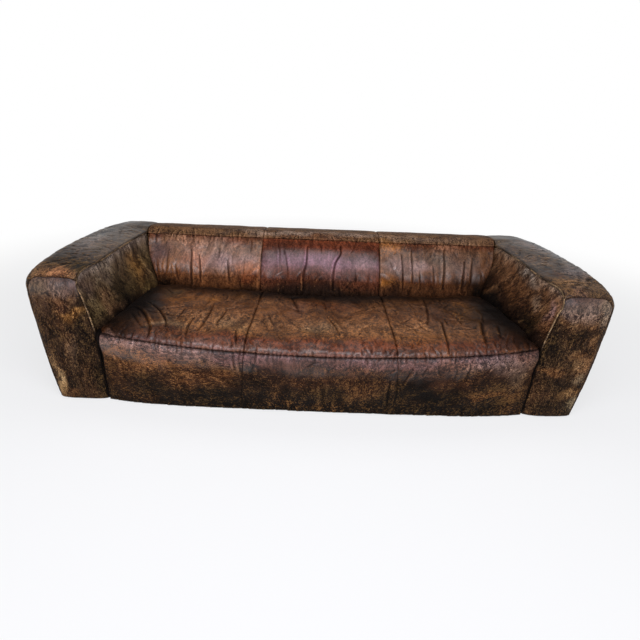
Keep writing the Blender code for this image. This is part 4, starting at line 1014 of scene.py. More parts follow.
# %% Paint the seat and the front border
below = ease((0.004 - seat_v) / 0.008)                    # 1 on the border, 0 on the seat
seat_hue = painted(seat_u, seat_v, SADDLE, SEAT_TONES, 61) * np.array((0.95, 0.92, 0.84))
# The border's ground darkens towards its hem, painted shade where it tucks in and faces the floor, and is
# palest under the seam, a painted sheen.
border_ground = shaded(seat_v, (-360, tone(44, 32, 24)), (-240, tone(52, 37, 27)),
                       (-140, tone(68, 46, 35)), (-70, tone(88, 62, 52)), (-20, tone(96, 74, 70)))
border_hue = painted(seat_u, seat_v, border_ground, BORDER_TONES, 71)
border_hue = border_hue * (1 + 0.35 * waves(seat_u, seat_v, 0.06, 72))[..., None]
seat_hue = mix(seat_hue, border_hue, below[..., None])
seat_hue = seat_hue * shaded(
    seat_v, (-360, (1.60, 1.42, 1.04)), (-140, (1.56, 1.36, 1.16)), (-70, (0.86, 0.71, 0.64)),
    (0, (0.68, 0.60, 0.66)), (70, (0.82, 0.66, 0.50)), (140, (1.16, 1.08, 0.90)),
    (240, (1.10, 1.09, 1.08)), (340, (1.04, 0.96, 0.85)), (460, (0.92, 0.86, 0.74)))


def line_at(v, place, wide=0.0035):
    """1 along a line at v = place, fading to nothing beside it: an edge that is rubbed light."""
    return np.exp(-((v - place) / wide) ** 2)


front_line = line_at(seat_v, 0.011) + 0.6 * line_at(seat_v, -0.011)
seat_hue = seat_hue * (1 + 0.7 * front_line * (0.7 + 0.5 * waves(seat_u, seat_v, 0.08, 73)))[..., None]
SEAT_WEAR = (                             # rub, grime and shine: the seat's, and then the border's
    (0.20, [(0, 250, 850, 160, 0.32, 90), (0, 0, 1100, 50, 0.08, 100), (-620, 200, 160, 100, 0.45, 80)], 75,
     0.52, [(-720, -120, 400, 70, 0.70, 90), (0, -20, 1100, 35, 0.05, 100),
            (860, -240, 140, 60, 0.75, 90), (500, -150, 120, 100, 0.3, 80),
            (200, -220, 300, 100, 0.65, 80)], 77),
    # Grime: near full at the seat's ends and rear, painted shade of the crevices by the arms and the back;
    # the border's rises towards its hem.
    (0.20, [(-1000, 360, 200, 400, 0.9, 100), (1000, 340, 200, 400, 0.9, 100),
            (0, 640, 1000, 100, 0.8, 100), (0, 0, 900, 40, 0.0, 100)], 79,
     0.62, [(0, -30, 1100, 50, 0.0, 100), (0, -370, 1100, 120, 0.95, 90)], 81),
    (0.38, [(0, 20, 1050, 50, 0.75, 100), (0, 620, 1100, 120, 0.05, 100),
            (-1020, 340, 150, 500, 0.0, 100), (1020, 340, 150, 500, 0.0, 100)], 111,
     0.0, [(-800, -30, 350, 60, 1.0, 100), (0, -20, 1000, 70, 0.70, 100),
           (600, -60, 300, 30, 0.45, 90)], 113))
seat_wear = np.stack([mix(painted(seat_u, seat_v, *row[:3]), painted(seat_u, seat_v, *row[3:]), below)
                      for row in SEAT_WEAR], -1)
print("on the seat's middle: rub, grime and shine", seat_wear[180, 240].round(2))

# %% Patches on the back
# Near-black patches at the foot of the back's two ends: painted shade in the corners between back, seat and
# arms.
BACK_FOOT_SHADE = [(-1020, 360, 120, 80, PITCH_BLACK, 95), (1020, 330, 120, 100, PITCH_BLACK, 95)]
# Each third: stops down the panel, then patches. The stops darken to near black at the foot, painted shade
# where the back meets the seat. The plum, mauve, bloom and pale lavender tones between 150 and 250 mm down
# are a painted sheen.
BACK_TONES = {
    "left": ([(0, RUSSET), (50, WALNUT), (140, WALNUT), (280, tone(140, 96, 68)),
              (340, tone(104, 66, 42)), (380, tone(68, 44, 28)), (430, DEEP_BROWN)], [
        (-860, 30, 120, 30, tone(172, 124, 94), 80), (-800, 360, 100, 50, UMBER, 80),
        (-600, 40, 120, 50, tone(132, 96, 80), 60), (-1020, 120, 50, 120, PLUM, 80),
        (-950, 30, 60, 30, TAN, 70), (-920, 240, 50, 60, GOLD, 60), (-800, 60, 80, 40, SALMON, 70),
        (-780, 160, 80, 70, SALMON, 95), (-660, 110, 50, 80, STONE, 60), (-580, 190, 90, 70, PAINTED_SHEEN, 85),
        (-450, 170, 60, 70, PAINTED_SHEEN, 60), (-440, 240, 70, 50, SALMON, 85),
        (-720, 90, 220, 80, tone(176, 138, 118), 45), (-620, 200, 120, 60, tone(170, 142, 140), 45),
        (-420, 300, 60, 30, RUST, 60), (-520, 30, 120, 30, RUST, 45), (-660, 300, 30, 50, UMBER, 50),
        (-900, 280, 100, 25, tone(88, 52, 32), 55), (-970, 340, 30, 20, SADDLE, 60)]),
    "middle": ([(0, RUST), (50, RUSSET), (100, RUSSET), (160, PLUM), (270, tone(116, 68, 52)),
                (340, tone(86, 50, 36)), (380, UMBER), (430, DEEP_BROWN)], [
        (0, 205, 380, 60, tone(146, 112, 126), 85), (-200, 80, 120, 50, UMBER, 40),
        (0, 20, 300, 25, RUST, 70), (-300, 200, 50, 80, MAUVE, 40), (240, 210, 80, 50, PAINTED_SHEEN, 35),
        (100, 280, 200, 30, UMBER, 45), (0, 85, 300, 30, tone(112, 54, 34), 60)]),
    "right": ([(0, RUSSET), (50, SADDLE), (140, SADDLE), (260, SADDLE), (330, tone(84, 54, 36)),
               (380, UMBER), (420, DEEP_BROWN)], [
        (440, 50, 80, 50, tone(172, 112, 62), 90), (410, 290, 40, 40, GOLD, 80),
        (600, 30, 80, 30, RUSSET, 70), (460, 200, 80, 60, PAINTED_SHEEN, 65), (620, 160, 80, 50, PAINTED_SHEEN, 80),
        (740, 100, 50, 40, STONE, 60), (800, 30, 70, 30, tone(150, 104, 78), 80),
        (860, 150, 70, 80, PLUM, 60), (980, 150, 40, 120, UMBER, 60), (640, 280, 80, 40, UMBER, 70),
        (840, 280, 120, 50, UMBER, 60), (840, 140, 140, 70, STONE, 55),
        (600, 275, 120, 25, tone(96, 54, 32), 55)]),
}
CROWN_TONES = [
    (-950, -30, 80, 30, UMBER, 60), (-600, -40, 140, 30, EARTH, 60), (-430, -45, 60, 30, STONE, 70),
    (-200, -50, 100, 30, STONE, 60), (-50, -20, 300, 20, RUSSET, 55), (430, -30, 80, 40, GOLD, 60),
    (600, -30, 70, 40, EARTH, 70), (800, -30, 100, 30, SADDLE, 60), (0, -200, 1100, 100, STONE, 50),
    (50, -50, 550, 22, tone(158, 138, 120), 60), (800, -40, 250, 30, STONE, 40),
]
print("patches on the back:", {third: len(BACK_TONES[third][1]) for third in BACK_TONES})

# %% Paint the back
on_crown = 1 - facing
middle = np.abs(back_u) < THIRD_BACK                      # its wax is whole only lower down
join_line = line_at(np.abs(np.abs(back_u) - THIRD_BACK), 0.0055, 0.003)
down_back = shaded(back_v, (0, (0.92, 1.00, 1.15)), (200, (0.92, 0.92, 1.10)),
                   (270, (0.74, 0.64, 0.54)), (360, (0.98, 0.98, 0.94)))
back_hue = {}
for third, (stops, patches) in BACK_TONES.items():
    hue = painted(back_u, back_v, shaded(back_v, *stops), patches + BACK_FOOT_SHADE, 83) * down_back
    back_hue[third] = hue * (1 + 0.7 * join_line)[..., None]
crown_hue = painted(back_u, back_v, mix(SADDLE, EARTH, 0.5), CROWN_TONES, 87) * np.array((0.80, 0.86, 1.10))
crown_hue = crown_hue * (1 + 1.3 * line_at(back_v, -0.006) + 0.8 * join_line)[..., None]
back_rub = painted(back_u, back_v, 0.22, [
    (0, 340, 1000, 60, 0.35, 90), (-800, 150, 150, 120, 0.10, 90), (0, 190, 1100, 80, 0.04, 100)], 89)
# Grime is near full at the foot: painted shade above the crevice with the seat.
back_grime_and_shade = painted(back_u, back_v, 0.12, [
    (0, 400, 1100, 70, 0.70, 100), (0, 180, 1100, 90, 0.0, 100)], 91)
back_shine = ease((back_v - np.where(middle, 0.060, 0.01)) / 0.09)
back_shine *= 1 - 0.6 * ease((back_u - 0.68) / 0.14)
back_shine *= 1 - ease((back_v - np.where(middle, 0.22, 0.195)) / 0.10)
back_wear = np.stack([mix(back_rub, 0.70, on_crown), mix(back_grime_and_shade, 0.45, on_crown),
                      mix(back_shine, 0.10, on_crown)], -1)
print("back panels painted:", sorted(back_hue))

# %% Patches on the arms' inner sides
# Each arm: stops down from the seam, then patches. The pale top stops and the chalk patches under the seam
# are a painted sheen; the stops darken to near black at the foot, and the near-black patches near the back
# (d about 870) are painted shade of the crevices.
INNER_TONES = {
    "left": ([(0, tone(158, 138, 122)), (60, tone(122, 100, 76)), (120, tone(104, 84, 58)), (220, OLIVE),
              (300, UMBER), (340, DEEP_BROWN)], [
        (570, 210, 120, 100, tone(142, 106, 62), 80), (650, 250, 100, 50, TAN, 70),
        (260, 170, 50, 50, DEEP_BROWN, 50), (80, 80, 50, 50, PLUM, 40), (160, 200, 60, 60, TAN, 65),
        (220, 80, 60, 50, STONE, 70), (140, 300, 120, 30, DEEP_BROWN, 90), (340, 150, 60, 80, DEEP_BROWN, 65),
        (310, 250, 90, 60, PITCH_BLACK, 85), (420, 120, 40, 60, UMBER, 50), (570, 140, 70, 100, GOLD, 45),
        (680, 220, 70, 70, OLIVE, 60), (860, 110, 50, 60, DEEP_BROWN, 80), (840, 240, 50, 70, UMBER, 80),
        (760, 240, 50, 50, DEEP_BROWN, 80), (560, 280, 90, 45, tone(206, 164, 98), 90),
        (450, 300, 50, 25, tone(160, 120, 84), 70), (250, 30, 50, 30, CHALK, 70),
        (850, 30, 50, 30, CHALK, 70), (860, 100, 40, 40, PITCH_BLACK, 90),
        (450, 170, 40, 40, DEEP_BROWN, 50), (250, 150, 40, 30, DEEP_BROWN, 50), (190, 240, 60, 25, TAN, 60),
        (240, 310, 60, 20, DEEP_BROWN, 70)]),
    "right": ([(0, tone(156, 132, 114)), (50, tone(140, 104, 80)), (100, tone(118, 84, 60)),
               (160, UMBER), (220, DEEP_BROWN), (320, PITCH_BLACK)], [
        (70, 100, 30, 50, MAUVE, 60), (60, 170, 40, 50, SADDLE, 70), (60, 260, 40, 60, UMBER, 70),
        (200, 80, 100, 50, SADDLE, 60), (380, 80, 100, 50, SADDLE, 60), (540, 80, 60, 50, SADDLE, 65),
        (300, 300, 200, 40, PITCH_BLACK, 70), (380, 230, 240, 30, UMBER, 60), (680, 220, 60, 40, UMBER, 60),
        (870, 180, 60, 160, PITCH_BLACK, 95), (750, 200, 40, 80, DEEP_BROWN, 60), (450, 30, 120, 30, STONE, 60),
        (150, 100, 50, 40, TAN, 60), (600, 230, 60, 30, EARTH, 80),
        (380, 30, 100, 30, tone(176, 166, 158), 60), (210, 100, 60, 30, tone(150, 130, 114), 60),
        (450, 170, 130, 30, SADDLE, 60), (650, 250, 40, 30, SADDLE, 60), (450, 300, 50, 20, PITCH_BLACK, 90),
        (260, 240, 50, 30, DEEP_BROWN, 60)]),
}
print("patches inside the arms:", {name: len(INNER_TONES[name][1]) for name in INNER_TONES})

# %% Patches on the arms' tops
# The bloom patches and the cool grey tones on the arms' tops are a painted sheen.
OVER_TONES = {
    "left": [
        (50, 100, 50, 60, SALMON, 80), (60, 170, 50, 40, TAN, 60), (150, 30, 80, 50, PITCH_BLACK, 95),
        (160, 140, 70, 80, UMBER, 85), (270, 100, 60, 60, EARTH, 60), (460, 170, 120, 50, PAINTED_SHEEN, 50),
        (300, 360, 220, 50, GOLD, 50), (240, 420, 120, 40, MAUVE, 40),
        (700, 190, 250, 50, tone(160, 160, 162), 55), (160, 100, 60, 120, DEEP_BROWN, 60),
        (250, 130, 60, 60, UMBER, 60), (200, 180, 70, 40, DEEP_BROWN, 60), (140, 20, 50, 30, PITCH_BLACK, 90),
        (450, 30, 50, 30, TAN, 40)],
    "right": [
        (50, 50, 50, 60, PLUM, 70), (150, 80, 50, 60, TAN, 50), (260, 50, 80, 50, EARTH, 60),
        (500, 80, 120, 60, TAN, 45), (260, 170, 120, 40, PAINTED_SHEEN, 45), (780, 170, 140, 50, PAINTED_SHEEN, 80),
        (650, 30, 100, 30, SADDLE, 40), (600, 380, 300, 50, SADDLE, 60),
        (700, 220, 300, 45, tone(170, 172, 180), 75), (140, 30, 140, 40, UMBER, 75),
        (260, 90, 50, 40, UMBER, 60), (260, 180, 60, 30, tone(120, 112, 118), 60),
        (50, 20, 40, 40, UMBER, 70), (250, 100, 50, 30, RUSSET, 45), (500, 170, 90, 30, UMBER, 50),
        (750, 40, 60, 40, TAN, 60)],
}
print("patches on the arms' tops:", {name: len(OVER_TONES[name]) for name in OVER_TONES})

# %% Patches on the arms' fronts
# The bloom and stone patches along the top are a painted sheen on the face's upper roll; the near-black
# strips along the inner edge (u 1060 to 1100) are painted shade of the crevice beside the seat.
FACE_TONES = {
    "left": [
        (1120, 620, 40, 40, PLUM, 60), (1200, 610, 60, 35, PAINTED_SHEEN, 60), (1280, 600, 50, 40, STONE, 70),
        (1090, 510, 30, 90, DEEP_BROWN, 75), (1130, 470, 40, 30, GOLD, 45), (1190, 520, 50, 50, SADDLE, 50),
        (1100, 380, 60, 80, DEEP_BROWN, 75), (1190, 330, 25, 120, SADDLE, 65), (1250, 420, 40, 80, UMBER, 50),
        (1290, 150, 25, 120, TAN, 80), (1230, 200, 25, 60, UMBER, 60), (1130, 140, 30, 60, EARTH, 60),
        (1060, 150, 30, 150, DEEP_BROWN, 60), (1240, 40, 50, 30, SADDLE, 60), (1080, 450, 30, 50, DEEP_BROWN, 70),
        (1080, 90, 30, 90, DEEP_BROWN, 60), (1120, 485, 65, 20, tone(168, 122, 74), 65),
        (1180, 530, 30, 40, tone(140, 100, 76), 65), (1290, 120, 25, 100, tone(172, 142, 104), 75),
        (1240, 380, 40, 30, DEEP_BROWN, 45), (1140, 50, 30, 40, EARTH, 60), (1075, 550, 20, 100, DEEP_BROWN, 70),
        (1070, 100, 20, 90, PITCH_BLACK, 60), (1180, 300, 30, 90, tone(122, 102, 88), 45),
        (1290, 140, 20, 40, tone(190, 164, 130), 60)],
    "right": [
        (1160, 590, 100, 30, PAINTED_SHEEN, 65), (1280, 600, 40, 50, STONE, 80), (1140, 530, 40, 30, SADDLE, 50),
        (1080, 500, 30, 80, DEEP_BROWN, 70), (1240, 540, 40, 30, SADDLE, 60), (1200, 450, 50, 50, DEEP_BROWN, 60),
        (1270, 440, 30, 50, TAN, 50), (1080, 380, 50, 70, DEEP_BROWN, 75), (1220, 350, 50, 30, SADDLE, 60),
        (1130, 260, 70, 25, SADDLE, 80), (1270, 290, 40, 50, TAN, 80), (1140, 190, 70, 30, DEEP_BROWN, 75),
        (1240, 130, 50, 30, GOLD, 55), (1180, 60, 80, 30, DEEP_BROWN, 50), (1180, 490, 100, 50, UMBER, 65),
        (1090, 400, 30, 100, DEEP_BROWN, 60), (1290, 380, 30, 60, UMBER, 70),
        (1290, 610, 30, 60, tone(150, 132, 122), 70), (1190, 370, 40, 25, tone(120, 90, 66), 60),
        (1280, 220, 30, 30, tone(132, 112, 92), 70), (1240, 300, 40, 30, tone(130, 102, 76), 60),
        (1230, 130, 40, 30, tone(136, 108, 80), 65), (1100, 150, 50, 60, EARTH, 60),
        (1290, 60, 30, 50, tone(176, 156, 128), 80), (1180, 490, 120, 40, DEEP_BROWN, 60),
        (1070, 380, 30, 90, PITCH_BLACK, 50), (1170, 610, 30, 40, UMBER, 60), (1090, 40, 30, 30, EARTH, 60)],
}
print("patches on the arms' fronts:", {name: len(FACE_TONES[name]) for name in FACE_TONES})

# %% Paint the arms
INNER_CAST = np.array(((0.92, 1.04, 1.28), (1.12, 1.18, 1.26)))   # left and right, over the patches
FACE_CAST = np.array(((1.16, 1.20, 1.20), (1.40, 1.48, 1.48)))
for number, name in enumerate(("left", "right")):
    part = arm_grids[name]
    d, down = part["places"]["inner"]
    stops, patches = INNER_TONES[name]
    part["inner_hue"] = painted(d, down, shaded(down, *stops), patches, 93 + number) * INNER_CAST[number]
    shine = 0.50 * (1 - ease((down - 0.04) / 0.12)) * (1 - ease((d - 0.78) / 0.06))
    part["inner_wear"] = np.stack([painted(d, down, 0.28, [(140, 200, 80, 100, 0.7, 90)], 95 + number),
                                   painted(d, down, 0.25, [(400, 300, 600, 80, 0.8, 90)], 97 + number),
                                   shine], -1)

    d, run = part["places"]["over"]
    outer = ease((run - 0.30) / 0.15)                     # 1 on the outer side, 0 on the top
    # The tops' ground is greyed towards stone: a painted sheen on the tops.
    top_tone = shaded(d, (50, mix(UMBER, STONE, 0.2)), (280, mix(UMBER, STONE, 0.35)),
                      (400, STONE * 0.75), (900, STONE * 0.8))
    hue = painted(d, run, top_tone, OVER_TONES[name], 99 + number) * np.array((0.82, 0.86, 0.90))
    part["over_hue"] = mix(hue, mix(UMBER, DEEP_BROWN, 0.3), (outer * ease((run - 0.45) / 0.2))[..., None])
    waxed = ease((d - 0.12) / 0.20) * (1 - outer)
    part["over_wear"] = mix(np.array((0.66, 0.50, 0.25)), np.array((0.48, 0.44, 0.85)), waxed[..., None])

    across, rise = part["places"]["face"]
    upper = ease((rise - 0.54) / 0.06)
    # The ground turns to a lavender plum at the top: painted sheen on the face's upper roll.
    ground = shaded(rise, (0, tone(50, 36, 27)), (450, tone(58, 41, 31)), (580, tone(88, 66, 54)),
                    (660, PLUM))
    hue = painted(across, rise, ground, FACE_TONES[name], 101 + number) * FACE_CAST[number]
    part["face_hue"] = hue * mix(1.0, (0.62, 0.56)[number], upper)[..., None]
    part["face_wear"] = mix(np.array((0.54, 0.50, 0.0)), np.array((0.16, 0.08, 0.70)), upper[..., None])
print("arms painted:", sorted(key for key in arm_grids["left"] if key.endswith("hue")))

# %% [markdown]
# ## Cut and close the panels
# Each panel takes its slice of a grid. Where the crown of the back laps over the inside back, the
# upper edge stands a little proud and the lower one is drawn in deeply, as a lapped seam does.

# %% Lead the border round its corner
TURN_IN, CORNER = 0.100, 0.006            # how far the border's end runs back, and round what radius


def turned_in(side, points, normal, height, hue, wear):
    """The border with its end led round the corner and back beside the arm, in twelve more columns."""
    order = slice(None, None, 1 if side < 0 else -1)
    points, normal, height, hue, wear = (a[:, order] for a in (points, normal, height, hue, wear))
    angle = np.linspace(0, math.pi / 2, 5)
    back = np.concatenate([CORNER * (1 - np.cos(angle)), np.linspace(CORNER, TURN_IN, 9)[1:]])[1:]
    out = np.concatenate([CORNER * np.sin(angle), np.full(8, CORNER)])[1:]
    edge = points[:, :1]
    d, z = edge[..., 1] + back - FRONT_Y, edge[..., 2] + 0 * back
    beside = inner_side(np.maximum(d, 0), z, side) - 0.0010
    x = mix(np.minimum(np.abs(edge[..., 0]) + out, beside), beside, ease((back - 0.005) / 0.020))
    points = np.concatenate([at(side * x, d, z)[:, ::-1], points], 1)
    fresh = normals_of(points) * (1 if side < 0 else -1)
    share = ease((np.arange(points.shape[1]) - 11) / 6)[None, :, None]
    normal = unit(mix(fresh, np.concatenate([fresh[:, :12], normal], 1), share))
    lit = np.linspace(0.2, 1, 12)                         # the led columns go dark towards their end
    height = np.concatenate([height[:, :1] * lit, height], 1)
    lit = lit[None, :, None] ** 4
    # The led columns fade to near black and full grime: painted shade in the crevice between the border and
    # the arm.
    hue = np.concatenate([mix(DEEP_BROWN * 0.3, hue[:, :1], lit), hue], 1)
    wear = np.concatenate([mix(np.array((0.0, 1.0, 0.0)), wear[:, :1], lit), wear], 1)
    return [a[:, order] for a in (points, normal, height, hue, wear)]


print("the border's ends run", TURN_IN, "m back between the seat and the arms")

# %% The seat, border and back panels
NO_SEAM, FINE, DEEP, LAP = (0.0, 0.01), (0.0030, 0.005), (0.0055, 0.007), (-0.0010, 0.003)
ROLL = (0.0038, 0.0058)                   # the front seam, pulled in between two rolls
JOIN = (0.0011, 0.0022)                   # a flat join inside the border
pieces = {}


def cut_panel(part, third, slot, arrays, seams, wadding):
    points, normal, height, hue, wear = arrays
    pieces[part + third] = panel(part.replace("panel", "cover") + third, part + third, slot,
                                 points, normal, height, seams, wadding, hue, wear)


for third in ("left", "middle", "right"):
    ends = [NO_SEAM if third == name else DEEP for name in ("left", "right")]
    cut = (ON_SEAT, seat_thirds[third])
    arrays = [a[cut] for a in (seat_grid, seat_normal, seat_height, seat_hue, seat_wear)]
    cut_panel("seat_panel_", third, "hide_seat", arrays, (ROLL, NO_SEAM, *ends), 0.018)
    cut = (ON_BORDER, seat_thirds[third])
    arrays = [a[cut] for a in (seat_grid, seat_normal, seat_height, seat_hue, seat_wear)]
    if third != "middle":
        arrays = turned_in(-1 if third == "left" else 1, *arrays)
    joins = [JOIN if end == DEEP else end for end in ends]
    cut_panel("front_border_panel_", third, "hide_border", arrays, (NO_SEAM, ROLL, *joins), 0.010)
for third in ("left", "middle", "right"):
    ends = [NO_SEAM if third == name else DEEP for name in ("left", "right")]
    for part, rows, slot, hue, seams, wadding in (
            ("inside_back_panel_", ON_BACK, "hide_back_" + third, back_hue[third], (NO_SEAM, DEEP), 0.018),
            ("back_top_panel_", ON_CROWN, "hide_back_top", crown_hue, (LAP, FINE), 0.008)):
        cut = (rows, back_thirds[third])
        arrays = [a[cut] for a in (back_grid, back_normal, back_height, hue, back_wear)]
        cut_panel(part, third, slot, arrays, (*seams, *ends), wadding)
print("panels so far:", len(pieces), "with", sum(len(p.data.polygons) for p in pieces.values()), "faces")

# %% [markdown]
# Round the front of an arm three panels meet at a corner. If each sank along its own normal there,
# the seam would gape, so close to a seam both neighbours sink along the direction that halves the
# corner between them. The left arm is made as a right one and mirrored when it is placed.

# %% Normals that the arm's panels share
def toward(normal, shared, away):
    """Normals that turn to the shared direction within the last 30 mm before a seam."""
    return unit(mix(shared, normal, ease(away / 0.03)[..., None]))


def read_off(at_values, values, vectors):
    """Vectors that are known at rising values, read off at other values."""
    return np.stack([np.interp(at_values, values, vectors[:, k]) for k in range(3)], -1)


def corner_normals(part):
    """Normals of an arm's three panels, shared where they meet."""
    over, inner, face = -normals_of(part["over"]), -normals_of(part["inner"]), normals_of(part["face"])
    seam = unit(over[0] + read_off(over_d, inner_d, inner[-1]))
    over = toward(over, seam[None], lengths(part["over"]))
    inner_away = lengths(part["inner"])
    inner = toward(inner, read_off(inner_d, over_d, seam)[None], inner_away[-1] - inner_away)

    u = np.linspace(0, 1, FACE_COLUMNS + 1)
    edge_t = np.concatenate([0.29 * u, mix(1.0, 0.29, part["face_v"])[::-1][1:]])
    edge_face = np.concatenate([face[-1], face[::-1, -1][1:]])
    rim = unit(read_off(over_t, edge_t, edge_face) + over[:, 0])
    face_rim = read_off(edge_t, over_t, rim)
    side_z, inner_z = part["face"][:, 0, 2], part["inner"][:, 0, 2]
    side = unit(read_off(side_z, inner_z, inner[:, 0]) + face[:, 0])

    up, across = lengths(part["face"]), lengths_across(part["face"])
    face = toward(face, face_rim[None, :FACE_COLUMNS + 1], up[-1] - up)
    face = toward(face, face_rim[FACE_COLUMNS:][::-1][:, None], across[:, -1:] - across)
    face = toward(face, side[:, None], across)
    over = toward(over, rim[:, None], lengths_across(part["over"]))
    inner = toward(inner, read_off(inner_z, side_z, side)[:, None], lengths_across(part["inner"]))
    return {"over": over, "inner": inner, "face": face}


for name in ("left", "right"):
    arm_grids[name]["normals"] = corner_normals(arm_grids[name])
print("normals shared over", FACE_COLUMNS + 1, "columns of each arm's front")

# %% The arm panels
MIRROR = np.array((-1.0, 1.0, 1.0))
FLAT = (0.0013, 0.004)                    # the seam over an arm's front, pressed flat
ARM_PARTS = (("over", "arm_top_and_outside_panel_", (FINE, NO_SEAM, FLAT, FINE), "hide_arm"),
             ("inner", "inside_arm_panel_", (NO_SEAM, FINE, DEEP, FINE), "hide_inside_arm_"),
             ("face", "arm_front_panel_", (NO_SEAM, FLAT, FINE, FINE), "hide_arm"))
for name in ("left", "right"):
    part = arm_grids[name]
    for key, node, seams, slot in ARM_PARTS:
        points, normal, height = part[key], part["normals"][key], part[key + "_height"]
        run = lengths(points)
        if key != "face":                                 # the hide lies calm along the welt
            height = height * ease((run if key == "over" else run[-1] - run) / 0.022)
        if name == "left":
            points, normal = points * MIRROR, normal * MIRROR
        arrays = [points, normal, height, part[key + "_hue"], part[key + "_wear"]]
        if (name == "left") == (key == "face"):           # the side on which columns run the wrong way
            arrays = [a[:, ::-1] for a in arrays]
            seams = (*seams[:2], *seams[2:][::-1])
        cut_panel(node, name, slot + name if slot.endswith("_") else slot, arrays, seams, 0.008)
print("arm panels:", [piece.name for node, piece in pieces.items() if "arm" in node])

# %% The front leather of an arm, turned in beside the seat
for side, name in ((-1, "left"), (1, "right")):
    depth = np.linspace(FRONT_SEAM + 0.001, 0.170, 21)[None, ::-side]
    rise = np.linspace(HEM_Z, 0.335, 33)[:, None]
    skin = at(side * (inner_side(depth, rise, side) + 0.0020), depth, rise)
    normal = normals_of(skin)
    # The turned-in leather is near black with full grime: painted shade in the crevice beside the seat.
    dark = {"hue": np.broadcast_to(DEEP_BROWN * 0.4, skin.shape),
            "wear": np.broadcast_to((0.0, 1.0, 0.0, 0.0), (*skin.shape[:2], 4))}
    flap = panel_object("arm_front_turn_in_" + name, skin, normal, skin - normal * 0.003, dark)
    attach(flap, "root")
    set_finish(flap, "hide_arm")
    pieces["arm_front_turn_in_" + name] = flap
print("arm panels:", sum(len(pieces[n].data.polygons) for n in pieces if "arm" in n), "faces")

# %% The outside back
REAR_COLUMNS, REAR_ROWS = 224, 60
rear_side = over_points(REAR_SEAM, mix(1.0, 0.29, np.linspace(0, 1, REAR_ROWS + 1)), 1)


def rear_top(t):
    """The top edge from the right shoulder over the arm, across the back and over the left arm."""
    half = over_points(REAR_SEAM, mix(0.29, 0.0, np.linspace(0, 1, 60)), 1)
    line = np.concatenate([half, (half * MIRROR)[::-1]])
    run = lengths(line)
    return read_off(t * run[-1], run, line)


u = np.linspace(0, 1, REAR_COLUMNS + 1)[None, :, None]
v = np.linspace(0, 1, REAR_ROWS + 1)[:, None, None]
low_edge, high_line = (mix(line, line * MIRROR, u) for line in (rear_side[0], rear_side[-1]))
across = mix(rear_side[:, None], rear_side[:, None] * MIRROR, u)
rear_grid = mix(low_edge, rear_top(u[0, :, 0])[None], v) + across - mix(low_edge, high_line, v)
rear_grid[..., 1] = FRONT_Y + ARM_DEPTH
rear_u, rear_z = rear_grid[..., 0], rear_grid[..., 2]
rear_height = 0.004 * (16 * v * (1 - v) * u * (1 - u))[..., 0] ** 0.5
rear_height += 0.0026 * waves(rear_u, rear_z, 0.16, 57, 2.0) + 0.0010 * waves(rear_u, rear_z, 0.05, 58)
rear_height += crinkles(rear_u, rear_z, (-1.15, 1.15, 0.46, 0.58), 40, 0.060, 0.0018, 88, 0.3)
rear_height += crinkles(rear_u, rear_z, (-1.05, 1.05, 0.10, 0.46), 30, 0.080, 0.0016, 89, 0.6)
for x in (-THIRD_BACK, THIRD_BACK):       # the joins between the three widths of hide
    rear_height -= 0.0030 * line_at(rear_u, x, 0.005)
REAR_TONES = [
    (0, 570, 1300, 70, SADDLE, 70), (-750, 320, 300, 140, SADDLE, 60), (-200, 400, 180, 100, EARTH, 60),
    (500, 280, 300, 120, RUSSET, 60), (950, 400, 160, 160, TAN, 45), (100, 160, 250, 80, EARTH, 50),
    (-1100, 200, 100, 180, SADDLE, 45), (0, 20, 1300, 80, DEEP_BROWN, 70),
]
rear_hue = painted(rear_u, rear_z, mix(UMBER, EARTH, 0.4), REAR_TONES, 103) * 1.15
rear_normal = np.broadcast_to((0.0, 1.0, 0.0), rear_grid.shape)
rear_wear = np.broadcast_to((0.40, 0.45, 0.15), rear_grid.shape)
pieces["outside_back_panel"] = panel("outside_back_cover", "outside_back_panel", "hide_outside_back",
                                     rear_grid, rear_normal, rear_height, (NO_SEAM, FINE, FINE, FINE),
                                     0.003, rear_hue, rear_wear)
print("outside back:", rear_grid.shape[:2], "points")

# %% [markdown]
# ## Piping, welts and stitches
# A strip of hide folded over a cord stands up along the inner seam of each arm and on down the
# front corner. It is the one line that catches the light, so it is worth real geometry: a round
# tube that follows the seam, slightly uneven, as a hand-sewn cord is.

# %% A covered cord
PIPING = 0.0031                           # radius of the covered cord
SIDES, UNEVEN = 10, 0.08                  # sides of the tube, and how much its radius wavers


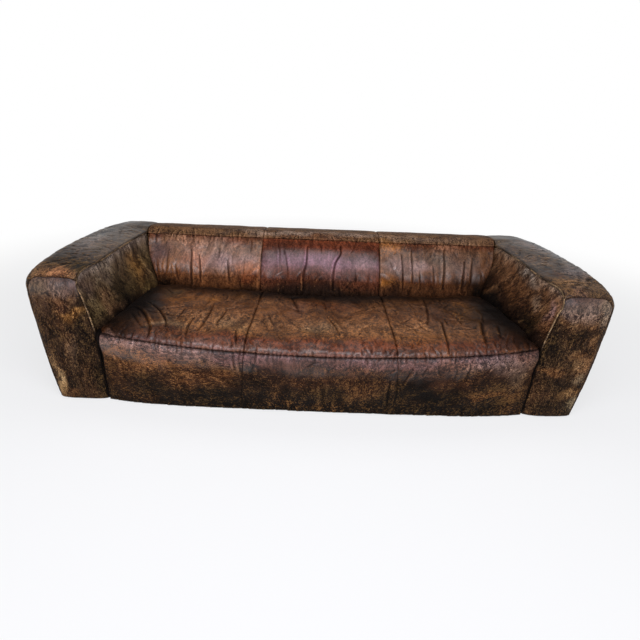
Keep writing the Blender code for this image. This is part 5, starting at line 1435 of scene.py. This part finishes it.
def tube_object(name, line, seed):
    """A closed tube along a line of points, pale above as rubbed hide and a painted highlight, near black
    below as painted shade.
    """
    ahead = unit(np.gradient(line, axis=0))
    across = unit(np.cross(ahead, (0.31, 0.17, 0.93)))
    third = np.cross(ahead, across)
    angle = np.linspace(0, 2 * math.pi, SIDES, endpoint=False)
    ring = np.cos(angle)[None, :, None] * across[:, None] + np.sin(angle)[None, :, None] * third[:, None]
    run, turned = np.meshgrid(lengths(line), angle * 0.01, indexing="ij")
    size = PIPING * (1 + UNEVEN * waves(run, turned, 0.018, seed))
    points = line[:, None] + ring * size[..., None]
    last = (len(line) - 1) * SIDES
    faces = [(i + k, i + (k + 1) % SIDES, i + SIDES + (k + 1) % SIDES, i + SIDES + k)
             for i in range(0, last, SIDES) for k in range(SIDES)]
    faces += [tuple(range(SIDES))[::-1], tuple(last + k for k in range(SIDES))]
    piece = mesh_object(name, points, faces)
    made = bmesh.new()
    made.from_mesh(piece.data)
    bmesh.ops.recalc_face_normals(made, faces=made.faces[:])
    made.to_mesh(piece.data)
    made.free()
    # Above the seat the cord is pale, rubbed hide and a painted highlight; lower down it is near black,
    # painted shade of the crevice beside the seat.
    rubbed = ease((points[..., 2] - 0.36) / 0.05)
    rubbed = rubbed * (0.6 + 0.4 * waves(points[..., 1], points[..., 2], 0.05, seed + 3))
    worn = np.stack([0.1 + 0.3 * rubbed, 0.8 - 0.7 * rubbed, 0 * rubbed, 0.3 * rubbed], -1)
    add_layer(piece.data, "hue", mix(DEEP_BROWN, tone(178, 152, 122), rubbed[..., None]).reshape(-1, 3))
    add_layer(piece.data, "wear", worn.reshape(-1, 4))
    return piece


print("a cord of", PIPING * 2000, "mm with", SIDES, "sides")

# %% Piping on the arms
for name in ("left", "right"):
    part = arm_grids[name]
    seam, seam_n = part["inner"][-1][::-1], part["normals"]["inner"][-1][::-1]
    side, side_n = part["face"][::-1, 0][1:], part["normals"]["face"][::-1, 0][1:]
    line = np.concatenate([seam, side]) + np.concatenate([seam_n, side_n]) * (PIPING * 0.85)
    line = rounded(line[::3])
    if name == "left":
        line = line * MIRROR
    run = lengths(line)
    line = read_off(np.linspace(0, run[-1], int(run[-1] / 0.006)), run, line)
    cord = tube_object("arm_welt_" + name, line, 5)
    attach(cord, "root")
    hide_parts("arm_piping_" + name)
    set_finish(cord, "hide_arm")
    pieces["arm_piping_" + name] = cord
print("piping:", round(float(run[-1]), 3), "m on each arm")

# %% [markdown]
# ## The foam cores
# Under the wadding lie blocks of foam, cut a little smaller than the cover so that they never press
# through a crease. They are hidden, and someone who opens the sofa will want them all the same.
# Each is a closed block between two grids: the cover's own surface moved inwards, and the boards,
# rails or springs that it rests on.

# %% A foam block
def block(name, node, outer, inner):
    """A closed block between an outer and an inner grid of the same size."""
    rows, columns = outer.shape[:2]
    skin, rim = quads(rows, columns), rim_of(rows, columns)
    edge, count = rim[0] * columns + rim[1], rows * columns
    ahead = np.roll(edge, -1)
    walls = np.stack([ahead, edge, edge + count, ahead + count], 1)
    piece = mesh_object(name, [outer, inner], np.concatenate([skin, skin[:, ::-1] + count, walls]).tolist())
    piece.data.set_sharp_from_angle(angle=math.radians(50))
    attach(piece, "root")
    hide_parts(node)
    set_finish(piece, "foam")
    return piece


def at_least(inner, axis, low):
    """The grid with one coordinate raised to a floor, or to one for each point."""
    inner = inner.copy()
    inner[..., axis] = np.maximum(inner[..., axis], low)
    return inner


foam_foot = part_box("seat_foam")[0].z
rail_y, back_rail_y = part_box("front_rail")[0].y - 0.0005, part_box("back_top_rail")[0].y - 0.0005
pad_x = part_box("arm_front_board_right")[0].x - 0.0005
print("foam stands on z", round(foam_foot, 3), "and stops at the rails, y", round(rail_y, 3))

# %% Foam blocks
under = (seat_grid - seat_normal * 0.021)[:, 2:-2][:, ::8]
first = int(np.argmax(under[:, 20, 2] > foam_foot + 0.010))
outer = under[first:-1:6]
inner = at_least(outer, 1, outer[0, :, 1] + 0.012 * (1 + np.arange(len(outer)))[:, None])
inner[..., 2] = foam_foot
foams = [block("seat_foam_core", "seat_foam", outer, inner)]

outer = (seat_grid - seat_normal * 0.013)[:, 2:-2][:, ::8][4:first - 4:6]
foams.append(block("front_rail_pad_core", "front_rail_pad", outer,
                   at_least(outer, 1, np.maximum(rail_y, outer[..., 1] + 0.003))))
outer = (back_grid - back_normal * 0.021)[:FACE_CELLS + 12, 3:-3][::6, ::8]
foams.append(block("back_foam_core", "back_foam", outer,
                   at_least(outer, 1, np.maximum(back_rail_y, outer[..., 1] + 0.004))))

side_rows, walls = (slice(4, -4, 8), slice(6, -1, 6)), (INNER_CELLS - 8 + 7) // 8
top_rows = (slice(4, int(np.argmax(over_t > 0.15)), 4), slice(6, inner_count, 6))
for name in ("left", "right"):
    part = arm_grids[name]
    outer = np.concatenate([part[key][rows] - part["normals"][key][rows] * 0.010
                            for key, rows in (("inner", side_rows), ("over", top_rows))])
    inner = at_least(outer, 0, np.maximum(pad_x, outer[..., 0] + 0.003))
    inner[:walls, :, 0] = np.maximum(pad_x, outer[:walls, :, 0] + 0.002)
    inner[walls:, :, 2] = outer[walls:, :, 2] - 0.012
    outer, inner = (a[:, ::-1] if name == "right" else a * MIRROR for a in (outer, inner))
    foams.append(block("arm_pad_core_" + name, "arm_pad_" + name, outer, inner))
print("foam blocks:", [f.name for f in foams])

# %% [markdown]
# ## Shader maths in plain expressions
# A finish is arithmetic on patterns: this noise times that mask, one minus the other. Blender does
# the arithmetic with Math nodes, which are slow to place by hand. The small class below wraps a
# socket, so that an expression such as 1 - mask adds the node for it.

# %% A wrapped socket
class Value:
    """A number that varies over the surface: the output socket of a node."""

    def __init__(self, bench, socket):
        self.bench, self.socket = bench, socket

    def maths(self, operation, *others):
        return self.bench.node("ShaderNodeMath", {"operation": operation}, *others)

    def __add__(self, other):
        return self.maths("ADD", self, other)

    def __radd__(self, other):
        return self.maths("ADD", other, self)

    def __sub__(self, other):
        return self.maths("SUBTRACT", self, other)

    def __rsub__(self, other):
        return self.maths("SUBTRACT", other, self)

    def __mul__(self, other):
        return self.maths("MULTIPLY", self, other)

    def __rmul__(self, other):
        return self.maths("MULTIPLY", other, self)

    def clamped(self):
        return self.bench.node("ShaderNodeClamp", {}, self)

    def over(self, low, high):
        """0 below low, 1 above high, and a smooth step between them."""
        settings = {"interpolation_type": "SMOOTHSTEP"}
        return self.bench.node("ShaderNodeMapRange", settings, self, low, high, 0.0, 1.0)


print("a socket can now be added, multiplied and taken from 1")

# %% [markdown]
# Any other node comes from one method, which takes its kind, its settings and what its sockets
# hold. The patterns below are that method with the sockets named.

# %% A bench of nodes
class Bench:
    """The nodes of one material, or of the world."""

    def __init__(self, owner):
        owner.use_nodes = True
        self.owner, self.tree = owner, owner.node_tree
        self.shader = self.tree.nodes.get("Principled BSDF")

    def node(self, kind, settings, *values, out=0, **named):
        """A node of a kind: its settings are set first, then its sockets in order or by name."""
        made = self.tree.nodes.new(kind)
        for key, value in settings.items():
            setattr(made, key, value)
        for socket, value in zip(made.inputs, values):
            self.feed(socket, value)
        self.fill(made, named)
        return Value(self, made.outputs[out])

    def feed(self, socket, value):
        """Link a Value to a socket, or set a plain number or colour on it."""
        if isinstance(value, Value):
            self.tree.links.new(value.socket, socket)
        elif value is not None:
            socket.default_value = (*value, 1.0) if socket.type == "RGBA" else value

    def fill(self, made, named):
        for name, value in named.items():
            self.feed(made.inputs[name.replace("_", " ")], value)

    def finish(self, **named):
        """The material, once what its shader needs is on the shader's sockets."""
        self.fill(self.shader, named)
        return self.owner

    def mixed(self, share, a, b, blend="MIX"):
        """A colour between two, or one blended over the other. Its colours are the sockets 6 and 7."""
        settings = {"data_type": "RGBA", "blend_type": blend}
        return self.node("ShaderNodeMix", settings, share, *[None] * 5, a, b, out=2)

    def place(self, stretch=(1, 1, 1), turn=(0, 0, 0)):
        """Coordinates in metres. A pattern laid on them is stretched first, and then turned."""
        inside = self.node("ShaderNodeTexCoord", {}, out=3)
        return self.node("ShaderNodeMapping", {"vector_type": "TEXTURE"}, inside, (0, 0, 0), turn, stretch)

    def noise(self, size, detail=3.0, rough=0.55, where=None, warp=0.0):
        """Cloudy noise from 0 to 1 whose clouds are about size metres across."""
        where = where or self.place()
        return self.node("ShaderNodeTexNoise", {}, Vector=where, Scale=1.0 / size, Detail=detail,
                         Roughness=rough, Distortion=warp)

    def cells(self, size, where):
        """How far a place is from the edge of its cell, where cells are about size metres across."""
        return self.node("ShaderNodeTexVoronoi", {"feature": "DISTANCE_TO_EDGE"}, Vector=where,
                         Scale=1.0 / size)

    def layer(self, name, part=None):
        """A painted layer of the mesh: its colour, or one of its four numbers."""
        colour = self.node("ShaderNodeAttribute", {"attribute_name": name}, out=3 if part == 3 else 0)
        return colour if part in (None, 3) else self.node("ShaderNodeSeparateColor", {}, colour, out=part)

    def bump(self, height, distance, strength):
        return self.node("ShaderNodeBump", {}, Strength=strength, Distance=distance, Height=height)


def material(name):
    return Bench(bpy.data.materials.new(name))


print("a bench can place, link and set any kind of node")

# %% [markdown]
# ## Worn waxed hide
# Each layer of the finish stands for something that happened to the leather, or for painted shade.
# The dye is cloudy, and along every grain line the wax has either stayed dark or broken to tan, so
# light and dark lie close together. Rubbing left crisp tan specks, thickly in some places. Grime sits
# in the pores, and every seam and crease is darkened as painted shade. Where the wax is whole the
# hide shines: that is the coat. Under it the leather itself is dull, and duller where it is rubbed.

# %% The leather
SPECK, GRIME_AND_SHADE = tone(178, 136, 80), tone(18, 13, 11)
PORE, PEBBLE, GRIT, FLECK, RUCK, MOTTLE, CLOUD = 0.0048, 0.0050, 0.0075, 0.0105, 0.022, 0.036, 0.15
MIDDLE = 0.505                            # where the mottling turns from dark dye to light


def leather(name, streak, turn, gloss, wax, contrast, size):
    """Old waxed leather. streak stretches its mottling along the way that the hide was pulled."""
    b = material(name)
    hide = b.place(streak, turn)
    hue, (rub, dirt_and_shade, hollow_shade, shine) = b.layer("hue"), (b.layer("wear", part) for part in range(4))
    clouds = b.noise(CLOUD * size, 4, 0.6, hide, 0.5)
    mottle = b.noise(MOTTLE * size, 5, 0.66, hide, 0.5)
    flecks = b.noise(FLECK * size, 5, 0.72, hide, 0.5)
    pores = b.noise(PORE, 3, 0.75)
    pebble = b.cells(PEBBLE, b.place((1.0, 1.3, 1.6))).over(0.02, 0.24)

    # dark and light leather of the same dye, laid close together
    light = mottle * 0.24 + flecks * 0.46 + pores * 0.30 + (clouds - 0.5) * 0.12
    light = light.over(MIDDLE - 0.075 / contrast, MIDDLE + 0.070 / contrast)
    broken = (rub * 1.5 + dirt_and_shade * 1.3).clamped()           # whole wax evens the tone out
    light = light * broken + (0.52 + (light - 0.5) * 0.45) * (1 - broken)
    light = light * (1 - (1 - pebble) * (0.20 + broken * 0.46))
    dark_dye = b.mixed(1.0, hue, (0.13, 0.105, 0.10), "MULTIPLY")
    light_dye = b.mixed(1.0, hue, (1.90, 1.69, 1.36), "MULTIPLY")
    base = b.mixed(light, dark_dye, light_dye)

    # blots of grime, then rubbed tan specks, then painted shade in the seams and creases
    blots = flecks * 0.48 + mottle * 0.24 + pores * 0.28 + (dirt_and_shade - 0.5) * 0.24
    base = b.mixed(blots.over(0.485, 0.555) * (dirt_and_shade * 1.1).clamped(), base, GRIME_AND_SHADE)
    grit = b.noise(GRIT, 4, 0.8, hide)
    specks = grit * 0.56 + pores * 0.24 + b.noise(0.05, 4, 0.6, hide) * 0.20 + (rub - 0.5) * 0.22
    specked = (specks.over(0.522, 0.578) * (rub * 1.1 + 0.12) * (0.30 + pebble * 0.70)).clamped()
    rubbed = b.mixed(0.32, b.mixed(1.0, hue, (2.8, 2.6, 2.2), "MULTIPLY"), SPECK)
    base = b.mixed(specked, base, rubbed)
    base = b.mixed(hollow_shade * 0.8, base, b.mixed(1.0, base, (0.16, 0.13, 0.12), "MULTIPLY"))

    rough = gloss + (flecks - 0.5) * 0.5 + specked * 0.18 + dirt_and_shade * 0.10
    whole = shine * (1 - specked * 0.7) * (1 - hollow_shade * 0.8) * (0.60 + clouds.over(0.35, 0.6) * 0.40)
    grain = pebble * 0.55 + pores * 0.9 + flecks * 1.5 + b.noise(RUCK * size, 4, 0.6, hide, 0.8) * 2.2
    return b.finish(Base_Color=base, Roughness=rough.clamped(), Specular_IOR_Level=0.04,
                    Coat_Weight=(whole * wax).clamped(), Coat_Roughness=0.28,
                    Normal=b.bump(grain, 0.0024, 0.90))


print("one leather, from its pores of", PORE, "m to its clouds of", CLOUD, "m")

# %% The hides
HIDES = {                                 # streak, turn, gloss, wax, contrast, size of the mottling
    "seat": ((1.0, 1.3, 1.0), (0, 0, 0.3), 0.42, 1.2, 1.5, 1.0),
    "border_left": ((2.4, 1.0, 0.9), (0, 0, 0), 0.46, 1.2, 2.6, 1.0),
    "border_middle": ((1.0, 1.0, 1.7), (0, 0, 0), 0.46, 1.2, 2.5, 1.0),
    "border_right": ((1.6, 1.0, 1.1), (0, -0.3, 0), 0.46, 1.2, 2.5, 1.0),
    "back_left": ((1.0, 1.4, 2.2), (0, 0, 0), 0.40, 2.0, 0.9, 1.0),
    "back_middle": ((1.0, 1.4, 2.2), (0, 0, 0), 0.36, 2.0, 0.9, 1.0),
    "back_right": ((1.0, 1.4, 2.2), (0, 0, 0), 0.40, 2.0, 0.9, 1.0),
    "back_top": ((1.3, 1.0, 1.0), (0, 0, 0), 0.50, 0.8, 2.6, 0.7),
    "inside_arm_left": ((1.0, 1.0, 3.0), (0.25, 0, 0), 0.48, 0.9, 1.8, 1.0),
    "inside_arm_right": ((1.0, 1.0, 3.0), (0.65, 0, 0), 0.48, 0.9, 1.8, 1.0),
    "arm_top_left": ((1.0, 4.0, 1.0), (0, 0, -0.24), 0.44, 1.2, 2.6, 1.0),
    "arm_top_right": ((1.0, 4.0, 1.0), (0, 0, 0.30), 0.44, 1.2, 2.6, 1.0),
    "arm_front": ((1.0, 1.0, 1.9), (0, 0.1, 0), 0.44, 1.1, 2.8, 1.0),
    "outside_back": ((1.0, 1.0, 1.7), (0, 0, 0), 0.48, 0.6, 1.3, 1.0)}
hides = {name: leather("waxed_hide_" + name, *hide) for name, hide in HIDES.items()}


def finish_of(name, slot):
    """The hide that a panel is cut from: most slots have one, and the border and arms have several."""
    side = name.rsplit("_", 1)[-1]
    if slot == "hide_border":
        return "border_" + side
    if slot == "hide_arm":
        return "arm_front" if "front" in name or side not in ("left", "right") else "arm_top_" + side
    return slot.replace("hide_", "")


for piece in pieces.values():
    piece.data.materials.append(hides[finish_of(piece.name, piece["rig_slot"])])
print("hides:", len(hides), "with", sum(len(m.node_tree.nodes) for m in hides.values()), "nodes")

# %% [markdown]
# ## What lies under the leather
# The frame's own solids keep their shapes: rails, boards, springs, the cloth below and the plastic
# feet. They need only a finish. Foam is pale and open-celled, timber is plain sawn softwood with
# its grain along each rail, the springs are oiled steel, and the lining is a black felted cloth.

# %% Foam and timber
b = material("cut_foam")
pores = b.noise(0.0022, 4, 0.7)
shade = pores.over(0.35, 0.65) * 0.5 + b.noise(0.2, 3) * 0.2
cut = b.mixed(shade, tone(226, 212, 170), tone(188, 168, 120))
KEPT = {"foam": b.finish(Base_Color=cut, Roughness=0.86 + pores * 0.1, Normal=b.bump(pores, 0.002, 0.8))}

b = material("sawn_timber")
rings = b.noise(0.012, 5, 0.6, b.place((20.0, 1.0, 1.0)), 1.5)
saw = b.noise(0.0015, 2, 0.5, b.place((1.0, 5.0, 5.0)))
sawn = b.mixed(rings.over(0.35, 0.68), tone(198, 160, 112), tone(156, 112, 68))
KEPT["timber"] = b.finish(Base_Color=sawn, Roughness=0.62 + rings * 0.2,
                          Normal=b.bump(rings + saw * 0.3, 0.0015, 0.5))
print("finishes:", list(KEPT))

# %% Steel, cloth and plastic
b = material("oiled_spring_steel")
stain = b.noise(0.03, 4, 0.6)
oiled = b.mixed(stain.over(0.45, 0.7), tone(118, 118, 120), tone(72, 60, 52))
KEPT["spring_steel"] = b.finish(Metallic=0.9, Base_Color=oiled, Roughness=0.32 + stain * 0.3)

b = material("black_felted_cloth")
fibres = b.noise(0.0012, 3, 0.8)
felt = b.mixed(fibres, tone(26, 26, 28), tone(52, 52, 54))
KEPT["lining_cloth"] = b.finish(Base_Color=felt, Roughness=0.88 + fibres * 0.1,
                                Normal=b.bump(fibres, 0.001, 0.9))

b = material("moulded_plastic")
scuff = b.noise(0.004, 4, 0.6)
scuffed = b.mixed(scuff.over(0.55, 0.75), tone(38, 38, 40), tone(70, 68, 66))
KEPT["glide_plastic"] = b.finish(Base_Color=scuffed, Roughness=0.40 + scuff * 0.25)
print("finishes:", list(KEPT))

# %% Dress the foams and the solids that show
for piece in foams:
    piece.data.materials.append(KEPT["foam"])
dressed = 0
for node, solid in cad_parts.items():
    for place in solid.material_slots:
        found = [slot for slot in KEPT if place.material and place.material.name.startswith(slot)]
        if found and not solid.hide_render:
            place.material, dressed = KEPT[found[0]], dressed + 1
print("solids dressed:", dressed, "of", sum(not s.hide_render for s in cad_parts.values()))

# %% [markdown]
# ## Floor, light and camera
# A pale floor keeps the sofa's shadow and fades into a white background. One wide soft light hangs
# in front and above, as open sky does outside a door; it gives the long sheen on the back and on
# the nose of the seat, with a painted sheen in the hide's colour. The rest of the light is even and low.

# %% The floor
CAMERA, GLOSSY, TRANSMISSION = 0, 3, 6    # the places of these rays among the outputs of Light Path
HALF = 60.0                               # half the floor's width


def ray(bench, *kinds):
    """1 where the ray is of one of these kinds."""
    total = 0.0
    for kind in kinds:
        total = bench.node("ShaderNodeLightPath", {}, out=kind) + total
    return total.clamped()


corners = np.array([(-HALF, -HALF, 0), (HALF, -HALF, 0), (HALF, HALF, 0), (-HALF, HALF, 0)])
floor = mesh_object("floor", corners, [(0, 1, 2, 3)])
f = material("pale_floor")
place = f.node("ShaderNodeNewGeometry", {}, out=0)
far = f.node("ShaderNodeVectorMath", {"operation": "LENGTH"}, place, out=1).over(1.7, 4.5)
glow = f.node("ShaderNodeEmission", {}, (1.0, 1.0, 1.0), 1.0)
share = ray(f, CAMERA, GLOSSY, TRANSMISSION) * (0.62 + far * 0.38)
both = f.node("ShaderNodeMixShader", {}, share, Value(f, f.shader.outputs[0]), glow)
f.feed(f.tree.nodes["Material Output"].inputs["Surface"], both)
floor.data.materials.append(f.finish(Base_Color=(0.80, 0.80, 0.80), Roughness=0.9, Specular_IOR_Level=0.1))
print("floor:", len(f.tree.nodes), "nodes")

# %% The world
world = bpy.data.worlds.new("studio")
bpy.context.scene.world = world
w = Bench(world)
w.tree.nodes.remove(w.tree.nodes["Background"])
around, mirrored, white = (w.node("ShaderNodeBackground", {}, colour, strength) for colour, strength in (
    ((0.93, 0.96, 1.0), 0.17), ((0.93, 0.96, 1.0), 0.45), ((1.0, 1.0, 1.0), 1.0)))
seen = w.node("ShaderNodeMixShader", {}, ray(w, GLOSSY), around, mirrored)
seen = w.node("ShaderNodeMixShader", {}, ray(w, CAMERA, TRANSMISSION), seen, white)
w.feed(w.tree.nodes["World Output"].inputs["Surface"], seen)
print("world:", len(w.tree.nodes), "nodes")

# %% Lamps
def link(name, data):
    """An object that holds a lamp or a camera, put in the scene."""
    made = bpy.data.objects.new(name, data)
    bpy.context.scene.collection.objects.link(made)
    return made


def softbox(name, place, target, width, height, power, colour=(1.0, 1.0, 1.0)):
    lamp = bpy.data.lights.new(name, "AREA")
    lamp.shape, lamp.size, lamp.size_y, lamp.energy, lamp.color = "RECTANGLE", width, height, power, colour
    made = link(name, lamp)
    made.location = place
    made.rotation_euler = (Vector(target) - Vector(place)).to_track_quat("-Z", "Y").to_euler()


softbox("open_sky", (0.0, -2.3, 3.5), (0.0, 0.1, 0.35), 5.0, 1.5, 135, (0.93, 0.94, 1.0))
softbox("doorway", (0.0, -4.3, 2.0), (0.0, -0.4, 0.40), 6.5, 1.6, 88, (0.92, 0.91, 1.0))
softbox("overhead", (0.0, 0.8, 4.0), (0.0, 0.1, 0.4), 4.0, 2.0, 30)

# %% Camera
camera = bpy.data.cameras.new("view")
camera.sensor_width, camera.lens = 36.0, 23.625
camera.shift_x, camera.shift_y = 0.0057, -0.0331
eye = link("view", camera)
DOWN, BANK = 0.3942, 0.0392               # how far it looks down, and how far it leans
ahead = Vector((0, math.cos(DOWN), -math.sin(DOWN)))
across = Vector((1, 0, 0))
level = Matrix((across, across.cross(ahead), -ahead)).transposed().to_4x4()
stand = Matrix.Translation((-0.0165, FRONT_Y - 1.7575, 1.3279))
eye.matrix_world = stand @ level @ Matrix.Rotation(BANK, 4, "Z")
bpy.context.scene.camera = eye
bpy.context.scene.view_settings.view_transform = "Standard"
print("camera at", [round(v, 3) for v in eye.location])
